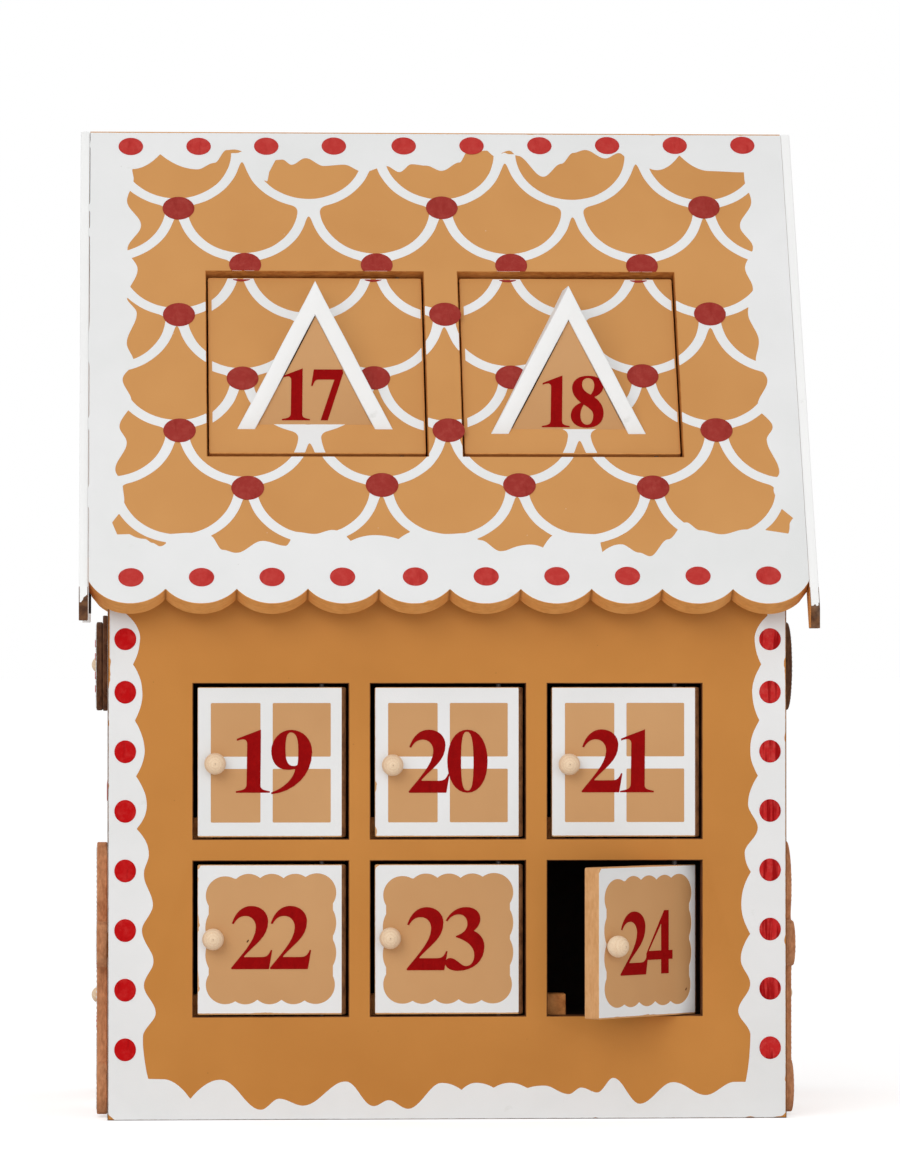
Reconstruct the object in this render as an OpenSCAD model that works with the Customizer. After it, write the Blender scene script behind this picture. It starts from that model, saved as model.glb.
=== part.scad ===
// Gingerbread-house advent calendar: a gable-roofed board box with 24 small hinged doors.
// The origin is on the table under the middle of the house, +Z is up and the front faces -Y.
// Each face of the house has its own plan: x to the right as seen from outside, y inwards
// from the outer surface, z up the wall or up the slope. Doors are hinged at their right, but
// the right-hand column on each side wall is a mirror image of the left-hand one.

/* [House] */
// Width of the front and back walls
body_w = 307; // [300:1:316]
// Depth from the front wall's face to the back wall's face
body_d = 216; // [214:1:220]
// Thickness of the walls, the base and the roof boards
wall_t = 9; // [8.5:0.5:9.5]
// Thickness of the shelves and dividers inside
inner_t = 6; // [4:0.5:7]

/* [Roof] */
// Pitch of both slopes in degrees
pitch = 60; // [59:0.5:61]
// How far the eaves stand out past the front and back walls
eave_out = 20.4; // [18:0.2:22]
// Height of the top edge of the eaves
eave_z = 232.4; // [232:0.2:236]
// Width of the roof boards
roof_w = 324; // [322:1:325]
// Number of scallops along each eave
scallops = 10; // [10:1:10]
// Radius of one scallop
scallop_r = 20.5; // [18:0.5:24]
// Thickness of the bargeboards at the gable ends
barge_t = 4.5; // [4:0.5:6]
// Width of the bargeboards, square to the slope
barge_w = 13; // [12:0.2:16]
// How far the bargeboards reach past the eaves, along the slope
barge_drop = 1.5; // [0:0.5:3]
// Height of the upright cut at their lower ends; the rest of each end is cut level
barge_nose = 9.6; // [7:0.2:10]

/* [Wall doors] */
// Side of the square door openings in the front and back walls
wall_open = 70; // [68:1:71]
// Width of the wall left between two openings
bar = 10; // [9:0.5:12]
// Height of the middle of the lower row of doors
row_z = 81.5; // [80:0.5:84]
// Thickness of the wall doors
leaf_t = 8.8; // [8:0.2:9]
// Distance from the doors' hinge edge to the hinge rod
wall_inset = 11; // [8:0.5:12]
// Radius of the front edge on the hinge side
edge_r = 3; // [1.5:0.5:4]
// How far door 24 stands open at rest, in degrees
ajar = 43.5; // [0:0.5:60]

/* [Roof doors] */
// Side of the square openings in the roof
roof_open = 100.4; // [98:0.2:101]
// Distance of each opening's middle from the middle of the roof
roof_door_x = 58.2; // [56:0.2:60]
// Distance of the openings' middle from the eave, up the slope
roof_door_v = 128.1; // [124:0.1:130]
// How deep the doors sit below the roof's surface
recess = 3; // [2:0.2:3]
// Thickness of the roof doors
roof_leaf_t = 5.8; // [5:0.2:6]
// Radius of their front edge on the hinge side
roof_edge_r = 0.4; // [0.2:0.1:0.6]

/* [Dormers] */
// Height of the tan face above the door, at the face
dormer_h = 50; // [44:1:56]
// Half width of the tan face at its foot
dormer_half = 26.2; // [24:0.2:28]
// Thickness of the two roof boards on each dormer
dormer_board_t = 7.3; // [5:0.1:8]
// How far those boards stand in front of the tan face
dormer_lip = 1.3; // [0.5:0.1:3]
// Distance of each tan face's foot from the eave, up the slope
dormer_v = [96.5, 94.2]; // [92:0.1:98]
// Sideways place of the left and right dormers
dormer_x = [-59.2, 56.6]; // [-62:0.2:62]

/* [Side doors] */
// Width of the openings in the side walls
side_open_w = 80; // [78:1:82]
// Height of the upper side openings
side_high_h = 70; // [66:1:72]
// Height of the lower side openings
side_low_h = 112; // [108:1:116]
// Distance of the side openings' middle from the middle of the wall
side_x = 54; // [53:0.5:55]
// Height of the middle of the upper side openings
side_high_z = 205; // [203:0.5:206]
// Height of the middle of the lower side openings
side_low_z = 68; // [67:0.5:72]
// Distance from the side doors' hinge edge to the hinge rod
side_inset = 4.4; // [4.2:0.1:5]
// How far the cookies and figures sit from the door's middle, to the free side
plaque_shift = 10; // [8:0.5:11]

/* [Knobs and plaques] */
// Diameter of the knobs on the wall doors
knob_d = 9.8; // [9:0.1:11]
// How far those knobs stand out
knob_out = 9.5; // [9:0.1:10]
// Distance from the free edge to the middle of each knob, from the top left door on
knob_in = [7.8, 7.8, 7.6, 6.9, 6.7, 7.8]; // [6.5:0.1:10]
// How far each of those knobs sits below the middle of its opening
knob_drop = [1, 1.7, 1.4, 0, -0.3, 2.2]; // [-1:0.1:3]
// Diameter of the knobs on the side doors
side_knob_d = 7.9; // [7:0.1:8.2]
// How far the side knobs stand out from the door
side_knob_out = 7.4; // [7:0.1:7.9]
// Radius of the larger, lower disc of a cookie
cookie_r = 21.8; // [21:0.1:22]
// Radius of the smaller, upper disc of a cookie
icing_r = 20.2; // [19:0.1:21]
// How far the upper disc's middle lies below the lower one's
icing_drop = 1.4; // [0:0.1:1.4]
// Thickness of the cookie's lower disc
cookie_t = 2.3; // [2:0.1:3]
// Thickness of the cookie's upper disc
icing_t = 2.9; // [2:0.1:3]
// Thickness of the gingerbread figures
figure_t = 4.9; // [4:0.1:5]
// Height of the figures' feet above the table
figure_foot_z = 0.8; // [0.8:0.2:4]
// Height of the knob on the figures near the front
figure_knob_z = 54.2; // [50:0.1:58]
// Height of the knob on the figures near the back
back_knob_z = 47.6; // [46:0.1:56]
// Size of the figures near the back, as a share of those near the front
back_figure = 0.96; // [0.92:0.01:1]

/* [Fits] */
// Diameter of the steel hinge rods
rod_d = 2.5; // [2:0.1:3]
// Radial clearance of a door on its rod
run_fit = 0.05; // [0.02:0.01:0.1]
// Radial clearance of a rod or peg that is glued into a board
glue_fit = 0.02; // [0.01:0.01:0.05]
// Gap between a wall door's free edge and the wall
free_gap = 2; // [1.5:0.1:2.4]
// Gap between a wall door's hinge edge and the wall
hinge_gap = 1; // [0.8:0.1:1.2]
// Gap above and below a wall door together
end_play = 2.4; // [2:0.1:3]
// Gap below a wall door, which hangs a little low
foot_gap = 0.8; // [0.6:0.1:1]
// Gap below door 24, which hangs lower
ajar_foot_gap = 0.3; // [0.3:0.1:0.8]
// Gap beside a roof door, at either edge
roof_gap = 0.8; // [0.7:0.1:1.5]
// Gap above a roof door
roof_top_gap = 1.6; // [1:0.1:2]
// Gap below a roof door
roof_foot_gap = 3.2; // [2:0.1:3.5]

/* [Hidden] */
$fn = 64;
doors = 24;
ajar_door = 24;
function two(n) = str(n < 10 ? "0" : "", n);
fixed_parts = ["front_wall", "back_wall", "left_wall", "right_wall", "base_board", "front_roof",
    "back_roof", "bargeboards", "shelves", "dividers", "stop_blocks", "hinge_rods"];

tan_paint = [0.77, 0.52, 0.25];
pale_paint = [0.80, 0.61, 0.41];
white_paint = [0.93, 0.93, 0.93];
knob_wood = [0.91, 0.77, 0.60];
cookie_brown = [0.33, 0.21, 0.13];
figure_brown = [0.62, 0.38, 0.24];
raw_board = [0.55, 0.38, 0.22];
steel = [0.70, 0.70, 0.72];

// The roof's lines in the side view
eave_y = body_d / 2 + eave_out;
slope_len = eave_y / cos(pitch);
under_ridge = eave_z + eave_y * tan(pitch) - wall_t / cos(pitch);
function underside(y) = under_ridge - abs(y) * tan(pitch);
// Small play where a board's edge meets another board
fit = 0.2;
// Gap between two boards that are glued to each other
glue = 0.05;

// The room inside and how it is shared out
in_x = body_w / 2 - wall_t;
in_y = body_d / 2 - wall_t;
column = wall_open + bar;
cell_x = 1.5 * column;
attic_z = 241;
attic_floor_t = 6;
high_row_z = row_z + column;
sill_drop = 1;
mid_shelf_z = high_row_z - wall_open / 2 - sill_drop;
low_shelf_z = row_z - wall_open / 2 - sill_drop;
side_shelf_z = side_high_z - side_high_h / 2 - sill_drop;

// The small stop block behind each door's free corner
stop_show = 9;
stop_hold = 4;
stop_h = 10.4;
stop_deep = 10;

// The knobs' pegs, and how deep each end of a rod sits in the wall
peg_r = 2;
peg_len = 6;
rod_grip = 4.5;

// Which face a door is on, and its place there counted from the top left
function is_side(n) = n <= 8;
function mirrored(n) = is_side(n) && place(n) % 2 == 1;
function is_roof(n) = n == 9 || n == 10 || n == 17 || n == 18;
function face(n) = n <= 4 ? "left" : n <= 8 ? "right" : n <= 10 ? "back roof"
    : n <= 16 ? "back" : n <= 18 ? "front roof" : "front";
function place(n) = is_side(n) ? (n - 1) % 4 : is_roof(n) ? (n - 1) % 2 : (n - 3) % 8;
function is_high(n) = is_side(n) ? place(n) < 2 : place(n) < 3;
function handle_of(n) = is_roof(n) ? "dormer" : !is_side(n) ? "knob" : is_high(n) ? "cookie" : "figure";

function open_w(n) = is_side(n) ? side_open_w : is_roof(n) ? roof_open : wall_open;
function open_h(n) = !is_side(n) ? open_w(n) : is_high(n) ? side_high_h : side_low_h;
function mid_x(n) = is_side(n) ? -side_x
    : is_roof(n) ? (place(n) * 2 - 1) * roof_door_x : (place(n) % 3 - 1) * column;
function mid_z(n) = is_side(n) ? (is_high(n) ? side_high_z : side_low_z)
    : is_roof(n) ? roof_door_v : is_high(n) ? high_row_z : row_z;

function left_x(n) = mid_x(n) - open_w(n) / 2;
function right_x(n) = mid_x(n) + open_w(n) / 2;
function face_y(n) = is_roof(n) ? recess : 0;
function thick(n) = is_roof(n) ? roof_leaf_t : leaf_t;
function inset(n) = is_side(n) ? side_inset : wall_inset;
function free_side(n) = left_x(n) + (is_roof(n) ? roof_gap : free_gap);
function hinge_side(n) = right_x(n) - (is_roof(n) ? roof_gap : hinge_gap);
function foot(n) = mid_z(n) - open_h(n) / 2
    + (is_roof(n) ? roof_foot_gap : n == ajar_door ? ajar_foot_gap : foot_gap);
function leaf_h(n) = open_h(n) - (is_roof(n) ? roof_foot_gap + roof_top_gap : end_play);
function rod_x(n) = hinge_side(n) - inset(n);
function rod_y(n) = face_y(n) + thick(n) / 2;
function plaque_x(n) = mid_x(n) - plaque_shift;
function knob_x(n) = is_side(n) ? plaque_x(n) : free_side(n) + knob_in[place(n)];
function at_back(n) = n == 3 || n == 8;
function figure_size(n) = at_back(n) ? back_figure : 1;
function knob_z(n) = is_side(n) && !is_high(n) ? (at_back(n) ? back_knob_z : figure_knob_z)
    : mid_z(n) - (is_side(n) ? 0 : knob_drop[place(n)]);

// Moves a piece from the plan of a face to that face of the house.
module on_face(name) {
    if (name == "front") translate([0, -body_d / 2, 0]) children();
    if (name == "back") rotate([0, 0, 180]) translate([0, -body_d / 2, 0]) children();
    if (name == "right") rotate([0, 0, 90]) translate([0, -body_w / 2, 0]) children();
    if (name == "left") rotate([0, 0, -90]) translate([0, -body_w / 2, 0]) children();
    if (name == "front roof") translate([0, -eave_y, eave_z]) rotate([pitch - 90, 0, 0]) children();
    if (name == "back roof") rotate([0, 0, 180]) on_face("front roof") children();
}

// The plan of the face that a door is on, turned over for a mirrored door.
module on_plan(n) {
    on_face(face(n)) flipped(n) children();
}

module flipped(n) {
    mirror([mirrored(n) ? 1 : 0, 0, 0]) children();
}

// A flat outline in x and z, given a thickness inwards from depth y.
module board(t, y = 0) {
    translate([0, y + t, 0]) rotate([90, 0, 0]) linear_extrude(t) children();
}

// An outline in y and z, drawn out along x.
module along_x(from, to) {
    translate([from, 0, 0]) rotate([90, 0, 90]) linear_extrude(to - from) children();
}

// The door opening and the blind holes for its rod, cut from a wall or a roof board.
module opening(n) {
    low = mid_z(n) - open_h(n) / 2;
    flipped(n) {
        translate([left_x(n), -1, low]) cube([open_w(n), wall_t + 2, open_h(n)]);
        translate([rod_x(n), rod_y(n), low - rod_grip - fit])
            cylinder(r = rod_d / 2 + glue_fit, h = open_h(n) + 2 * (rod_grip + fit));
    }
}

module end_wall(first, last) {
    color(tan_paint) difference() {
        along_x(-body_w / 2, body_w / 2) polygon([
            [0, 0],
            [wall_t, 0],
            [wall_t, underside(in_y) - fit],
            [0, underside(body_d / 2) - fit]
        ]);
        for (n = [first:last]) opening(n);
    }
}

module side_wall(first, last) {
    color(tan_paint) difference() {
        board(wall_t) polygon([
            [-in_y, 0],
            [in_y, 0],
            [in_y, underside(in_y) - fit],
            [0, under_ridge - fit],
            [-in_y, underside(in_y) - fit]
        ]);
        for (n = [first:last]) opening(n);
    }
}

// The outline of a roof board: straight at the sides, with round scallops along the eave.
module roof_outline() {
    step = (roof_w - 5) / scallops;
    intersection() {
        translate([-roof_w / 2, 0]) square([roof_w, slope_len]);
        union() {
            translate([-roof_w / 2, scallop_r]) square([roof_w, slope_len]);
            for (i = [0:scallops - 1])
                translate([(i - (scallops - 1) / 2) * step, scallop_r]) circle(r = scallop_r);
        }
    }
}

module roof_board(first, last) {
    color(tan_paint) difference() {
        board(wall_t) roof_outline();
        along_x(-roof_w, roof_w) polygon([
            [-1, slope_len + tan(pitch)],
            [wall_t + 1, slope_len - (wall_t + 1) * tan(pitch)],
            [wall_t + 1, slope_len + wall_t]
        ]);
        for (n = [first:last]) opening(n);
    }
}

module bargeboards() {
    tip = [barge_nose * cos(pitch), -barge_drop - barge_nose * sin(pitch)];
    color(white_paint) for (slope = ["front roof", "back roof"], side = [0, 1])
        on_face(slope) mirror([side, 0, 0])
            along_x(roof_w / 2, roof_w / 2 + barge_t) polygon([
                [0, -barge_drop],
                [0, slope_len - glue],
                [barge_w, slope_len - glue - barge_w * tan(pitch)],
                [barge_w, tip[1] + (barge_w - tip[0]) / tan(pitch)],
                tip
            ]);
}

module base_board() {
    color(raw_board) translate([-in_x, -in_y, 0]) cube([2 * in_x, 2 * in_y, wall_t]);
}

// One flat board between two heights, with its corners given in x and y.
module slab(x1, x2, y1, y2, z1, z2) {
    translate([x1, y1, z1]) cube([x2 - x1, y2 - y1, z2 - z1]);
}

// Halving slots let the shelves and the upright dividers of a cell block cross.
module cell_shelf(top) {
    difference() {
        slab(-cell_x + inner_t / 2, cell_x - inner_t / 2, -in_y, -inner_t / 2, top - inner_t, top);
        for (s = [-1, 1])
            slab(s * column / 2 - inner_t / 2 - fit, s * column / 2 + inner_t / 2 + fit,
                -in_y / 2, 0, top - wall_t, top + wall_t);
    }
}

module shelves() {
    color(raw_board) {
        for (turn = [0, 180]) rotate([0, 0, turn]) {
            cell_shelf(mid_shelf_z);
            cell_shelf(low_shelf_z);
            for (side = [0, 1]) mirror([side, 0, 0])
                slab(cell_x + inner_t / 2, in_x, -in_y, -inner_t / 2, side_shelf_z - inner_t, side_shelf_z);
        }
        slab(-in_x, in_x, -in_y, in_y, attic_z, attic_z + attic_floor_t);
    }
}

module cell_divider(x, slots) {
    difference() {
        slab(x - inner_t / 2, x + inner_t / 2, -in_y, -inner_t / 2 - glue, wall_t, attic_z);
        for (top = slots)
            slab(x - inner_t, x + inner_t, -in_y - 1, -in_y / 2, top - inner_t - fit, top + fit);
    }
}

module attic_divider() {
    top_y = in_y - 1;
    along_x(-inner_t / 2, inner_t / 2) polygon([
        [-inner_t / 2 - glue, attic_z + attic_floor_t],
        [-top_y, attic_z + attic_floor_t],
        [-top_y, underside(top_y) - 1],
        [-inner_t / 2 - glue, underside(inner_t / 2) - 1]
    ]);
}

module dividers() {
    color(raw_board) {
        slab(-in_x, in_x, -inner_t / 2, inner_t / 2, wall_t, attic_z);
        slab(-in_x, in_x, -inner_t / 2, inner_t / 2, attic_z + attic_floor_t, underside(inner_t / 2) - 1);
        for (turn = [0, 180]) rotate([0, 0, turn]) {
            for (s = [-1, 1]) {
                cell_divider(s * cell_x, []);
                cell_divider(s * column / 2, [mid_shelf_z, low_shelf_z]);
            }
            attic_divider();
        }
    }
}

// The blocks are glued behind the wall, so a closed door rests against them.
module stop_blocks() {
    color(raw_board) for (n = [1:doors]) {
        hold = is_roof(n) || is_side(n) ? stop_hold : bar / 2 - inner_t / 2;
        on_plan(n) translate([left_x(n) - hold, wall_t, mid_z(n) - open_h(n) / 2 - sill_drop])
            cube([stop_show + hold, stop_deep, stop_h]);
    }
}

module hinge_rods() {
    color(steel) for (n = [1:doors])
        on_plan(n) translate([rod_x(n), rod_y(n), mid_z(n) - open_h(n) / 2 - rod_grip])
            cylinder(d = rod_d, h = open_h(n) + 2 * rod_grip);
}

// Turns door 24 about its rod to where it stands at rest. The other doors are shut.
module swung(n) {
    turn = n == ajar_door ? ajar : 0;
    translate([rod_x(n), rod_y(n), 0]) rotate([0, 0, turn]) translate([-rod_x(n), -rod_y(n), 0]) children();
}

// A door leaf, seen from above: square, with its front edge rounded on the hinge side.
module leaf_plan(n) {
    from = free_side(n);
    to = hinge_side(n);
    r = is_roof(n) ? roof_edge_r : edge_r;
    translate([from, face_y(n)]) square([to - from - r, thick(n)]);
    translate([from, face_y(n) + r]) square([to - from, thick(n) - r]);
    translate([to - r, face_y(n) + r]) circle(r = r);
}

module door(n) {
    low = foot(n);
    color(is_roof(n) || is_side(n) ? tan_paint : pale_paint) on_plan(n) swung(n) difference() {
        translate([0, 0, low]) linear_extrude(leaf_h(n)) leaf_plan(n);
        translate([rod_x(n), rod_y(n), low - 1]) cylinder(r = rod_d / 2 + run_fit, h = open_h(n));
        if (!is_roof(n))
            translate([knob_x(n), peg_len + fit, knob_z(n)]) rotate([90, 0, 0])
                cylinder(r = peg_r + glue_fit, h = peg_len + 1);
    }
}

// A turned ball knob with a flat foot and a peg that is glued into the door.
module knob_shape(d, out) {
    color(knob_wood) rotate([90, 0, 0]) rotate_extrude() {
        intersection() {
            translate([0, out - d / 2]) circle(d = d);
            square([d, out]);
        }
        translate([0, -peg_len]) square([peg_r, peg_len + 1]);
    }
}

module knob(n) {
    on_plan(n) swung(n) translate([knob_x(n), 0, knob_z(n)]) knob_shape(knob_d, knob_out);
}

// A dormer is a wedge with an upright tan face, under two white boards that meet in a ridge.
// Everything below the door's face is cut away.
module dormer(n) {
    middle = dormer_x[place(n)];
    up_slope = dormer_v[place(n)];
    foot_y = -eave_y + up_slope * cos(pitch) + recess * sin(pitch);
    foot_z = eave_z + up_slope * sin(pitch) - recess * cos(pitch);
    rise = dormer_h / dormer_half;
    up = dormer_board_t * sqrt(1 + rise * rise);
    low = 10;
    deep = 60;
    rotate([0, 0, n == 9 || n == 10 ? 180 : 0]) translate([middle, foot_y, foot_z]) {
        color(pale_paint) difference() {
            board(deep) polygon([[-dormer_half, 0], [dormer_half, 0], [0, dormer_h]]);
            below_door();
        }
        for (side = [0, 1])
            color(white_paint) mirror([side, 0, 0]) difference() {
                board(deep + dormer_lip, -dormer_lip) polygon([
                    [0, dormer_h],
                    [dormer_half + low / rise, -low],
                    [dormer_half + (low + up) / rise, -low],
                    [0, dormer_h + up]
                ]);
                below_door();
            }
    }
}

// All space behind the plane of a roof door's face, seen from the foot of the dormer.
module below_door() {
    reach = 200;
    rotate([pitch - 90, 0, 0]) translate([-reach / 2, 0, -reach / 2]) cube([reach, reach, reach]);
}

module knob_hole(n) {
    translate([knob_x(n), knob_z(n)]) circle(d = side_knob_d + 0.6);
}

// A round cookie: a larger disc on the door, a smaller one on it, and a knob through both.
module cookie(n) {
    middle = mid_z(n) + icing_drop / 2;
    on_plan(n) {
        color(cookie_brown) board(cookie_t, -cookie_t) difference() {
            translate([plaque_x(n), middle]) circle(r = cookie_r);
            knob_hole(n);
        }
        color(cookie_brown) board(icing_t, -cookie_t - icing_t) difference() {
            translate([plaque_x(n), middle - icing_drop]) circle(r = icing_r);
            knob_hole(n);
        }
        translate([knob_x(n), 0, knob_z(n)]) knob_shape(side_knob_d, side_knob_out);
    }
}

// A bar with round ends.
module limb(a, b, r) {
    length = norm(b - a);
    translate(a) rotate(atan2(b[1] - a[1], b[0] - a[0])) {
        translate([0, -r]) square([length, 2 * r]);
        circle(r = r);
        translate([length, 0]) circle(r = r);
    }
}

// Fills an inner corner: the area of the points less a circle about the last point.
module web(points, r) {
    difference() {
        polygon(points);
        translate(points[len(points) - 1]) circle(r = r);
    }
}

// The outline of a gingerbread figure, with its feet at height 0. Size 1 is about 123 mm tall.
module figure_outline(size) {
    head_r = 20.4 * size;
    head = 102.9 * size;
    arm_r = 10.4 * size;
    arm = 77.5 * size;
    reach = 37 * size - arm_r;
    foot_r = 12.2 * size;
    foot_x = 18.4 * size;
    body = 19 * size;
    web_r = 5 * size;
    far = body + web_r;
    neck = arm + arm_r + web_r;
    neck_x = sqrt(pow(head_r + web_r, 2) - pow(head - neck, 2));
    heel = foot_r + sqrt(pow(foot_r + web_r, 2) - pow(far - foot_x, 2));
    difference() {
        union() {
            translate([0, head]) circle(r = head_r);
            limb([-reach, arm], [reach, arm], arm_r);
            translate([-body, foot_r]) square([2 * body, arm - foot_r]);
            for (side = [0, 1]) mirror([side, 0]) {
                translate([foot_x, foot_r]) circle(r = foot_r);
                web([[neck_x, arm], [0, arm], [0, head], [neck_x, neck]], web_r);
                web([[far, arm], [0, arm], [0, arm - arm_r - web_r], [far, arm - arm_r - web_r]], web_r);
                web([[foot_x, foot_r], [0, foot_r], [0, heel], [far, heel]], web_r);
            }
        }
        limb([0, 0], [0, 27 * size], 5.5 * size);
    }
}

module figure(n) {
    on_plan(n) {
        color(figure_brown) board(figure_t, -figure_t) difference() {
            translate([plaque_x(n), figure_foot_z]) figure_outline(figure_size(n));
            knob_hole(n);
        }
        translate([knob_x(n), 0, knob_z(n)]) knob_shape(side_knob_d, side_knob_out);
    }
}

// What each door is opened by.
module handle(n) {
    if (handle_of(n) == "knob") knob(n);
    if (handle_of(n) == "dormer") dormer(n);
    if (handle_of(n) == "cookie") cookie(n);
    if (handle_of(n) == "figure") figure(n);
}

on_face("front") end_wall(19, 24);  // front_wall
on_face("back") end_wall(11, 16);  // back_wall
on_face("left") side_wall(1, 4);  // left_wall
on_face("right") side_wall(5, 8);  // right_wall
base_board();
on_face("front roof") roof_board(17, 18);  // front_roof
on_face("back roof") roof_board(9, 10);  // back_roof
bargeboards();
shelves();
dividers();
stop_blocks();
hinge_rods();
for (n = [1:doors]) {
    door(n);
    handle(n);
}
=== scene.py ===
import math

import bpy
import numpy as np
from mathutils import Matrix, Vector
from mathutils.geometry import delaunay_2d_cdt


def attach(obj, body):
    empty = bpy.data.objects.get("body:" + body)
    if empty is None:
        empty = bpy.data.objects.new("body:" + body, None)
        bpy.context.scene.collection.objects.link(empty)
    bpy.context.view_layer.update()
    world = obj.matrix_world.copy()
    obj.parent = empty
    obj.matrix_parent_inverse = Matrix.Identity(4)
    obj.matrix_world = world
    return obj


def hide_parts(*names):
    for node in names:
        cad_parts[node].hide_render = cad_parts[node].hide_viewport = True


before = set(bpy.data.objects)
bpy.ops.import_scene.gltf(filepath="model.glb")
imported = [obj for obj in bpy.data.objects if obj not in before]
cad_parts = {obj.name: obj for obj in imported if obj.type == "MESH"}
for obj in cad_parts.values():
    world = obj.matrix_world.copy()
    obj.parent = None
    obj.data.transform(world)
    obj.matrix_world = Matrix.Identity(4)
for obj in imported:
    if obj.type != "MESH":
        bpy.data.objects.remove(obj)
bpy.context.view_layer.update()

# Lengths are in millimetres until a piece is made. Each face of the house has a plan: x to the
# right as seen from outside, y inwards from the outer surface, z up the wall or up the slope.

# The camera
PHOTO_W, PHOTO_H = 900, 1176
FOCAL_PX = 6211
AHEAD_PX = (123.3, 653.0)
SENSOR = 36.0
STAND = (-0.1465, -2.910, 0.2104)

# The house
BODY_W, BODY_D, WALL_T = 307.0, 216.0, 9.0
PITCH = math.radians(60)
EAVE_Y, EAVE_Z = 128.4, 232.4
SLOPE = EAVE_Y / math.cos(PITCH)
UNDER_RIDGE = EAVE_Z + EAVE_Y * math.tan(PITCH) - WALL_T / math.cos(PITCH) - 0.2
ROOF_W = 324.0
SCALLOPS, SCALLOP_R = 10, 20.5
SCALLOP_STEP = (ROOF_W - 5) / SCALLOPS
STRIP_TOP = 24.0
BARGE_T, BARGE_W, BARGE_DROP, BARGE_NOSE, BARGE_SEAM = 4.5, 13.0, 1.5, 9.6, 0.4

# The doors
WALL_OPEN, COLUMN, ROW_LOW = 70.0, 80.0, 81.5
ROOF_OPEN, ROOF_DOOR_X, ROOF_DOOR_V, RECESS = 100.4, 58.2, 128.1, 3.0
SIDE_W, SIDE_HIGH_H, SIDE_LOW_H = 80.0, 70.0, 112.0
SIDE_X, SIDE_HIGH_Z, SIDE_LOW_Z = 54.0, 205.0, 68.0
FREE_GAP, HINGE_GAP, END_PLAY, FOOT_GAP, AJAR_FOOT_GAP = 2.0, 1.0, 2.4, 0.8, 0.3
ROOF_GAP, ROOF_TOP_GAP, ROOF_FOOT_GAP = 0.8, 1.6, 3.2
LEAF_T, ROOF_LEAF_T = 8.8, 5.8
WALL_INSET, SIDE_INSET = 11.0, 4.4
HINGE_ROUND = 2.0
AJAR = math.radians(43.5)
PLAQUE_SHIFT = 10.0

# Dormers, knobs and plaques
DORMER_H, DORMER_HALF, DORMER_BOARD, DORMER_LIP = 50.0, 26.2, 7.3, 1.3
DORMER_X, DORMER_V = (-59.2, 56.6), (96.5, 94.2)
KNOB_D, KNOB_OUT = 9.8, 9.5
KNOB_IN, KNOB_DROP = (7.8, 7.8, 7.6, 6.9, 6.7, 7.8), (1, 1.7, 1.4, 0, -0.3, 2.2)
SIDE_KNOB_D, SIDE_KNOB_OUT = 7.9, 7.4
COOKIE_R, ICING_R, ICING_DROP = 21.8, 20.2, 1.4
COOKIE_T, ICING_T, FIGURE_T = 2.3, 2.9, 4.9
FIGURE_FOOT_Z, FIGURE_KNOB_Z = 0.8, 54.2
BACK_KNOB_Z, BACK_FIGURE = 47.6, 0.96

# Paint and edges
PAINT_T, PAINT_SINK, RED_T = 0.1, 0.05, 0.16
EASE = 0.4
EASED_LAYERS = ((0, EASE), (0.12, 0.12), (EASE, 0), (WALL_T - EASE, 0), (WALL_T, EASE))


def add_camera():
    lens = bpy.data.cameras.new("photo_lens")
    lens.sensor_width = SENSOR
    lens.lens = FOCAL_PX / PHOTO_H * SENSOR
    lens.clip_start, lens.clip_end = 0.1, 50
    camera = bpy.data.objects.new("photo_camera", lens)
    bpy.context.scene.collection.objects.link(camera)
    camera.location = STAND
    sight = Vector(((PHOTO_W / 2 - AHEAD_PX[0]) / FOCAL_PX, 1, (AHEAD_PX[1] - PHOTO_H / 2) / FOCAL_PX))
    camera.rotation_euler = sight.to_track_quat("-Z", "Y").to_euler()
    bpy.context.scene.camera = camera


add_camera()


# ---- Paints and woods: every finish is a node material of its own ----

def light_values(colour):
    """The colour a camera saw, red, green and blue up to 255, as light values."""
    levels = [c / 255 for c in colour]
    return (*(c / 12.92 if c <= 0.04045 else ((c + 0.055) / 1.055) ** 2.4 for c in levels), 1)


class Tree:
    """A node tree. A node's sockets, by name or number, are set to a value or fed from another node."""

    prefix = "ShaderNode"

    def __init__(self, tree):
        self.tree = tree

    def node(self, kind, sockets, **values):
        made = self.tree.nodes.new(kind if "Node" in kind else self.prefix + kind)
        for key, value in values.items():
            setattr(made, key, value)
        for key, value in sockets.items():
            self.set(made.inputs[key], value)
        return made

    def set(self, socket, value):
        if isinstance(value, bpy.types.Node):
            value = value.outputs[0]
        if isinstance(value, bpy.types.NodeSocket):
            self.tree.links.new(value, socket)
        else:
            socket.default_value = value

    def math(self, operation, a, b=0.0):
        return self.node("ShaderNodeMath", {0: a, 1: b}, operation=operation).outputs[0]


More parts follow.
